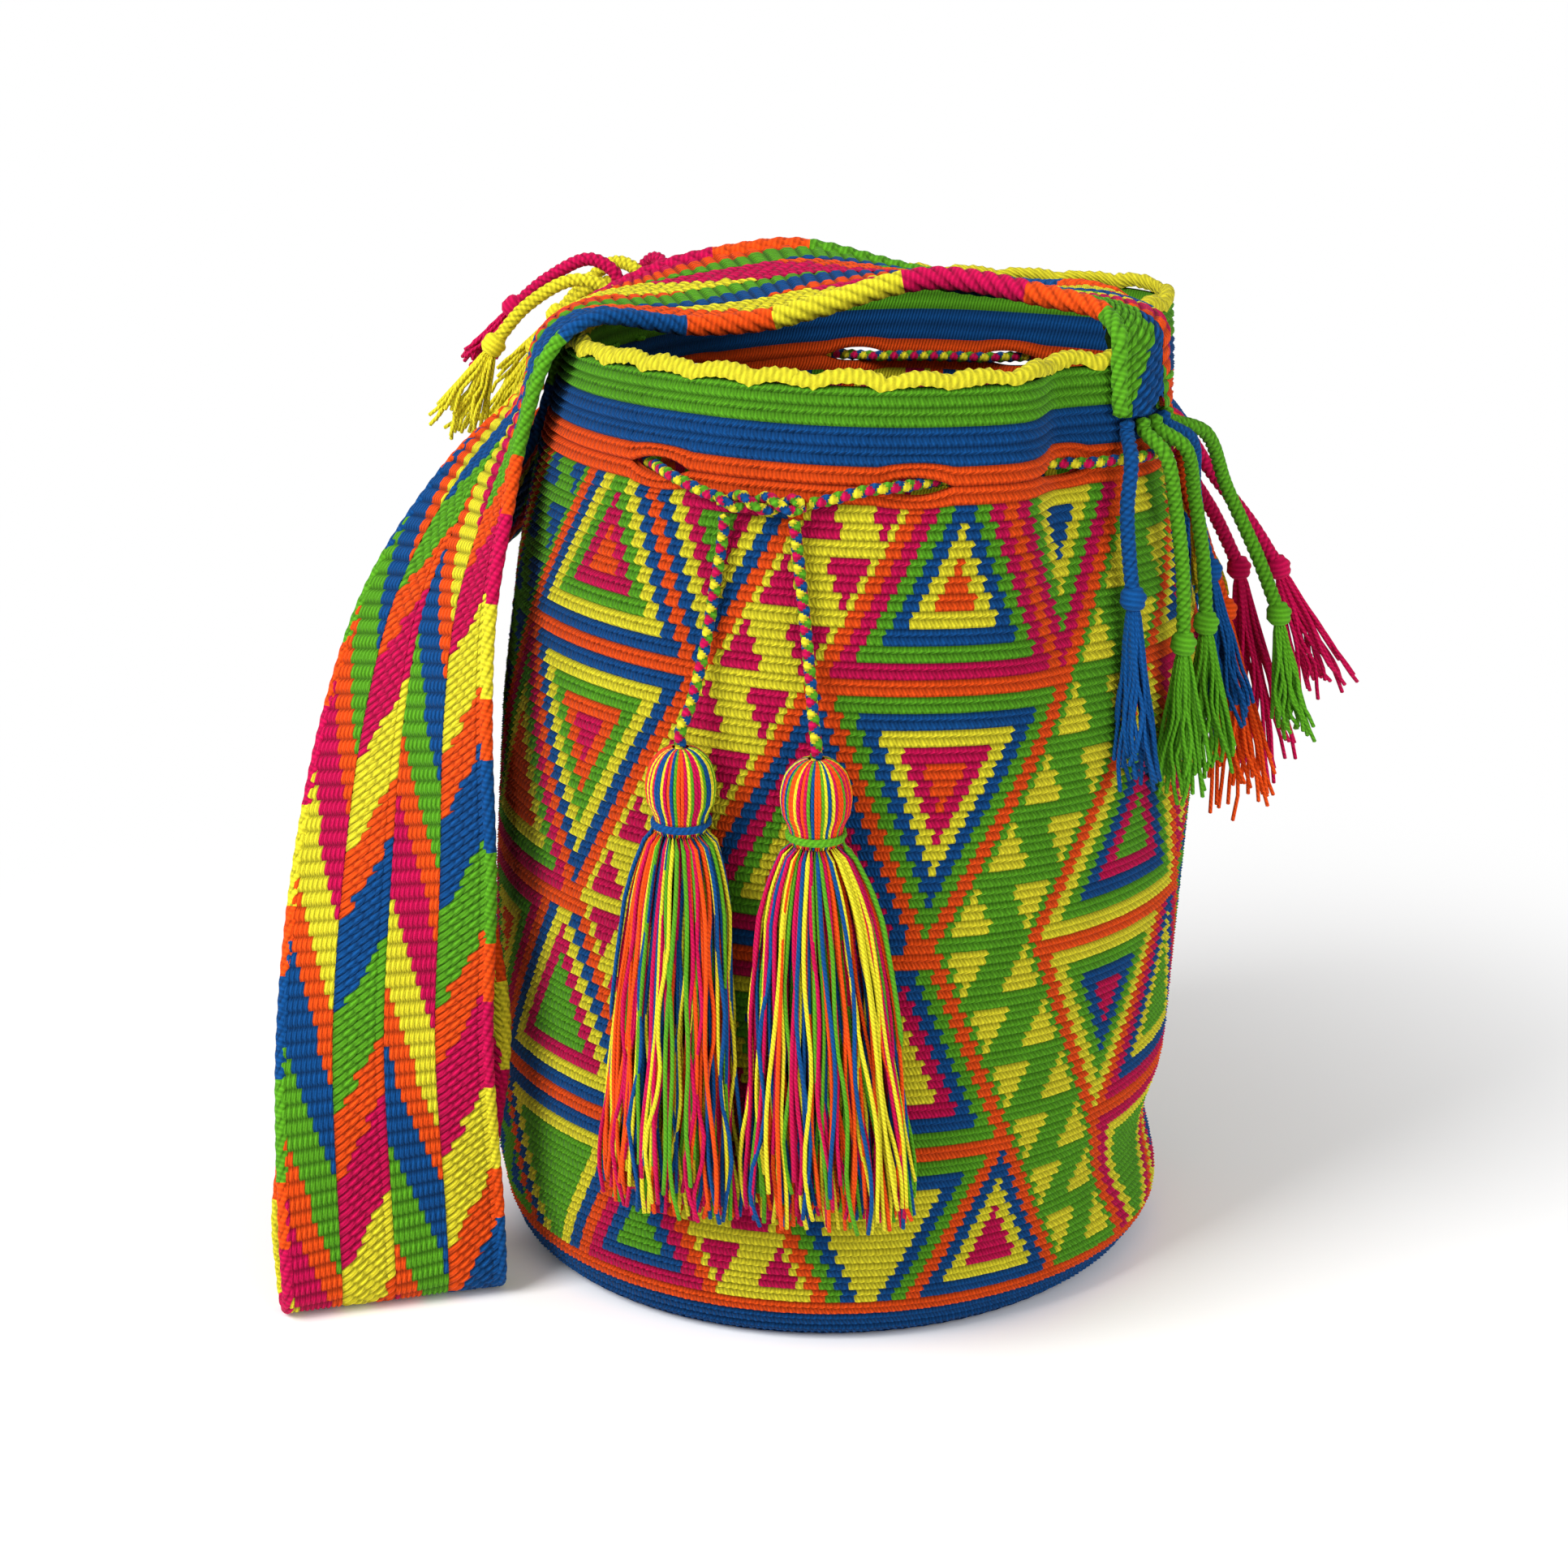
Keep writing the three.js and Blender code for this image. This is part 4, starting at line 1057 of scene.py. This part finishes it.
# Stations off the wall, for both edges: angle, distance and share of the height
HANGING = [
    ((-55, 10, 0.907), (-87, 15, 0.907)),
    ((-50, 13, 0.83), (-78, 28, 0.84)),
    ((-45.9, 17, 0.732), (-69.6, 45, 0.726)),
    ((-42.7, 18, 0.62), (-63.2, 55, 0.61)),
    ((-39.3, 18, 0.46), (-56.3, 66, 0.45)),
    ((-37.7, 20, 0.284), (-49.9, 75, 0.284)),
]
RISING = [
    ((-45, 6, 0.28), (-56.5, 63, 0.28)),
    ((-55, 12, 0.5), (-75, 48, 0.5)),
    ((-67, 14, 0.69), (-95, 27, 0.69)),
]


def strap_stations():
    """Right seam, over the mouth, down outside the left rim, a fold on the floor and up to the left seam."""
    rows = []
    u = np.linspace(0, 1, RAILS)
    off = STRAP_OFF + STRAP_T / 2

    def on_wall(near, far, z_near, z_far, off_near, off_far):
        rows.append(wall(mix(near, far, u), mix(z_near, z_far, u), mix(off_near, off_far, u)))

    def between(near, far):
        rows.append(mix(np.asarray(near, float), np.asarray(far, float), u[:, None]))

    def free(phi, away, share):
        return wall(phi, HEIGHT * share, away)

    near = wall_turn(STRAP_RIGHT, HEIGHT - STRAP_TUCK / 2, -STRAP_W / 2)
    far = wall_turn(STRAP_RIGHT, HEIGHT - STRAP_TUCK / 2, STRAP_W / 2)
    for z in (HEIGHT - STRAP_TUCK, HEIGHT - 12, HEIGHT - 4):
        on_wall(near, far, z, z, off, off)
    on_wall(near, far, HEIGHT + 3.4, HEIGHT + 3.4, off - 0.6, off - 0.6)
    on_wall(near, far, HEIGHT + 9, HEIGHT + 7, -8, -8)
    between((74.6, -23.7, HEIGHT + 12), (56, 39, HEIGHT + 3))
    between((36.1, -14.8, HEIGHT + 14), (17, 48, HEIGHT + 4))
    between((2.7, -25.3, HEIGHT + 5), (-20.6, 36, HEIGHT + 13))
    between((-11.5, -26.7, HEIGHT + 1), (-40.6, 31, HEIGHT + 11))
    between((-34, -33, HEIGHT - 1), (-63, 24, HEIGHT + 6))
    on_wall(-54, -94, HEIGHT + 5.5, HEIGHT + 5.5, -3, -3)
    on_wall(-54, -93, HEIGHT - 3, HEIGHT - 3, 8, 8.5)
    for near, far in HANGING:
        between(free(*near), free(*far))
    foot_near, foot_far = free(-37.9, 17, 0.1), free(-44.4, 82, 0.1)
    between(foot_near, foot_far)
    back = foot_far - foot_near
    back = np.array([back[1], -back[0], 0]) / np.hypot(back[0], back[1])
    if back @ (-0.3, 0.95, 0) < 0:
        back = -back
    fold_z = STRAP_T / 2 + 0.2
    folds = [
        (-1, fold_z + FOLD_R),
        (FOLD_R * 0.25, fold_z + FOLD_R * 0.25),
        (FOLD_R, fold_z),
        (FOLD_R * 1.75, fold_z + FOLD_R * 0.25),
        (FOLD_R * 2 + 1, fold_z + FOLD_R),
        (FOLD_R * 2 + 3, HEIGHT * 0.1),
    ]
    level = (1, 1, 0)
    for away, z in folds:
        between(foot_near * level + back * away + (0, 0, z), foot_far * level + back * away + (0, 0, z))
    for near, far in RISING:
        between(free(*near), free(*far))
    on_wall(-77, -115, HEIGHT * 0.81, HEIGHT * 0.81, 9, 9)
    near, far = STRAP_LEFT + STRAP_HALF, STRAP_LEFT - STRAP_HALF
    on_wall(near, far, HEIGHT - 34, HEIGHT - 34, off + 0.5, off + 0.5)
    for z in (HEIGHT - 22, HEIGHT - 12, HEIGHT - 5):
        on_wall(near, far, z, z, off, off)
    return np.array(rows)


SEQUENCE = [(YELLOW, 1.0), (ORANGE, 0.65), (BLUE, 1.0), (GREEN, 1.0), (ORANGE, 0.65), (MAGENTA, 1.0)]
SEQUENCE_LENGTH = 160
BAND_SLOPE = (2.8, 1.75)
STRAP_COLUMN = STRAP_W / 4
COLUMN_PHASE = (0.469, 0.727, 0.258, 0.941)
# The braid is looser, and its bands longer, over the mouth and down to the right end
LOOSE_END = 260
LOOSE_RATE = 0.69


def strap_colour(s, u, column):
    """Colour of the braid at a distance along it and across one of its four columns, left to right."""
    s = np.where(s < LOOSE_END, LOOSE_END - LOOSE_RATE * (LOOSE_END - s), s)
    lean = BAND_SLOPE[column % 2] * (u - STRAP_COLUMN / 2)
    p = ((s - lean if column % 2 == 0 else s + lean) / SEQUENCE_LENGTH + COLUMN_PHASE[column]) % 1
    ends = np.cumsum([w for _, w in SEQUENCE])
    number = np.searchsorted(ends / ends[-1], p, side="right")
    return np.array([c for c, _ in SEQUENCE])[np.minimum(number, len(SEQUENCE) - 1)]


# Yarns of the braid: cells across a column, row height and slant of the rows
STEEP = (10, 4.6, -0.12)
SLANTED = (5, 2.6, -0.7)
# Three points to a cell: the gap beside a yarn, and two on the yarn
PART = np.array([0.0, 0.3, 0.72])
RISE = np.array([0.0, 0.95, 0.9])
# Share of the height that is left in the gaps, in slanted and in steep columns, which also sets the painted
# shade there
GAP = (0.35, 0.4)
# How much thicker the plaited edges are over the mouth than on the hanging part
EDGE_THICK = 1.75
EDGE_FADE = (150, 235)
# How much thinner they are at the right end than over the mouth
EDGE_THIN = 0.68
EDGE_SWELL = (15, 65)
EDGE_PITCH = 5.6
EDGE_SIDES = 16
# How far the gaps between the yarns lie under the strap's surface
YARN_RISE = 0.85


class Strap:
    """The middle surface of the band as a fine grid, with its outward direction and length."""

    def __init__(self):
        stations = strap_stations()
        rails = np.stack([catmull(stations[:, i], 14) for i in range(RAILS)], 1)
        self.sheet = np.stack([catmull(row, 4) for row in rails])
        self.columns = self.sheet.shape[1]
        self.gone = lengths(self.sheet[:, self.columns // 2])
        self.total = self.gone[-1]
        normal = np.cross(np.gradient(self.sheet, axis=0), np.gradient(self.sheet, axis=1))
        self.normal = normal / np.linalg.norm(normal, axis=-1, keepdims=True)

    def place(self, s, t, off):
        """Point of the strap at a distance along it and a share across it from the near edge."""
        row = np.interp(np.clip(s, 0, self.total), self.gone, np.arange(len(self.gone)))
        column = np.clip(t, 0, 1) * (self.columns - 1)
        r0 = np.minimum(row.astype(int), len(self.gone) - 2)
        c0 = np.minimum(column.astype(int), self.columns - 2)
        fr = (row - r0)[..., None]
        fc = (column - c0)[..., None]

        def pick(grid):
            top = mix(grid[r0, c0], grid[r0, c0 + 1], fc)
            low = mix(grid[r0 + 1, c0], grid[r0 + 1, c0 + 1], fc)
            return mix(top, low, fr)

        return pick(self.sheet) + pick(self.normal) * np.asarray(off)[..., None]


def braid_column(strap, band, column, way):
    """One of the four columns of yarns on the face (way -1) or the back (way 1) of the strap."""
    steep = column % 2 == 0
    cells, row_h, shear = STEEP if steep else SLANTED
    k = np.arange(3 * cells + 1)[None, :]
    rows = int(strap.total / row_h)
    j = np.arange(3 * rows + 1)[:, None]
    u = (k // 3 + PART[k % 3]) * STRAP_COLUMN / cells
    shift = 0.5 * ((j // 3) % 2) if not steep else 0
    inner = (k > 0) & (k < 3 * cells)
    u_at = np.where(inner, u + shift * STRAP_COLUMN / cells * (k < 3 * cells - 3), u)
    s = (j // 3 + PART[j % 3]) * row_h + shear * (u_at - STRAP_COLUMN / 2)
    lean = np.where(inner & steep, -0.35 * (PART[j % 3] - 0.5), 0)
    height = RISE[j % 3] * np.where(k % 3 == 0, GAP[steep], 1.0)
    # Painted shade in the gaps between the yarns, as deep as they lie
    depth = np.clip(height, 0, 1)
    height = height + RANDOM.normal(0, 0.05, height.shape)
    off = way * (STRAP_T / 2 - YARN_RISE + height)
    t = 1 - (column * STRAP_COLUMN + u_at + lean) / STRAP_W
    points = strap.place(s, t + 0 * s, off)
    row_s = (j[:-1] // 3 + 0.5) * row_h
    cell_u = (k[:, :-1] // 3 + 0.5) * STRAP_COLUMN / cells
    colour = strap_colour(row_s + shear * (cell_u - STRAP_COLUMN / 2), cell_u, column)
    phase = PLIES * (k / 3) + j / 6 if steep else k / 6 + PLIES * j / 3
    uv = np.stack(np.broadcast_arrays(phase, s / 10), -1)
    if way > 0:
        points, uv, colour, depth = points[:, ::-1], uv[:, ::-1], colour[:, ::-1], depth[:, ::-1]
    band.grid(points, colour, uv, depth)


def make_strap_edges(strap):
    """The plaits along both edges, in the colours of the columns beside them."""
    edges = Yarns()
    turn = np.arange(EDGE_SIDES) / EDGE_SIDES
    for t, column, u in ((0.0, 3, STRAP_COLUMN), (1.0, 0, 0.0)):
        s = np.linspace(0, strap.total, int(strap.total))
        line = even(strap.place(s, np.full_like(s, t), 0 * s), 1.1)
        d = lengths(line)[:, None]
        share = np.linspace(0, strap.total, len(line))[:, None] + 0 * turn
        thick = mix(EDGE_THICK, 1, smoothstep(share, *EDGE_FADE))
        thick = thick * mix(EDGE_THIN, 1, smoothstep(share, *EDGE_SWELL))
        plait = np.abs(np.sin(np.pi * (d / EDGE_PITCH + 2 * np.abs(turn * 2 - 1)))) ** 0.6
        # tops paints shade on the lower parts of the plait
        tops = (STRAP_T / 2 + 0.25) * thick
        radius = tops * (0.66 + 0.38 * plait)
        edges.tube(line, radius, strap_colour(share[:-1], u, column), EDGE_SIDES, tops=tops)
    return edges.finish("strap_edges", "bag")


def make_strap():
    """The braided band in three pieces: face, back and edges."""
    strap = Strap()
    for name, way in (("strap_face", -1), ("strap_back", 1)):
        band = Yarns()
        for column in range(4):
            braid_column(strap, band, column, way)
        band.finish(name, "bag", ["strap_band"], "braided_cotton")
    edge = make_strap_edges(strap)


def make_seams():
    """The sewing yarn, which goes out and in twice through each end of the strap and the wall."""
    seam = Yarns()
    outer = STRAP_OFF + STRAP_T + 0.1
    inner = -WALL - 0.6 - SEAM_D / 2
    t = np.linspace(0, 1, 49)
    wave = np.clip(0.5 - 0.8 * np.cos(4 * np.pi * t), 0, 1)
    right = (STRAP_RIGHT, STRAP_HALF - 7, HEIGHT - 11)
    left = (STRAP_LEFT, -STRAP_HALF + 8, HEIGHT - 14)
    for middle, reach, z in (right, left):
        line = wall(middle + mix(-reach, reach, t), z, mix(inner, outer, wave))
        seam.tube(even(line, 1.2), SEAM_D / 2, GREEN, 8)
    seam.finish("seams", "bag", ["strap_seam_right", "strap_seam_left"], "green_yarn")


make_camera()
make_surround()
make_floor()
make_lamps()
for number, side_name in enumerate(("left", "right")):
    make_tassel(number, side_name)
for end_name, start_drop, cords in (("right", LOW, RIGHT_FRINGE), ("left", TOP, LEFT_FRINGE)):
    for label, start_angle, *route, brush_tip, spread_out in cords:
        route = [(start_angle, start_drop, ON), *route]
        make_fringe(f"fringe_{end_name}_{label}", NAMES.index(label[:-2]), route, brush_tip, spread_out)
make_drawstring()
make_wall()
make_rim()
make_base()
make_strap()
make_seams()
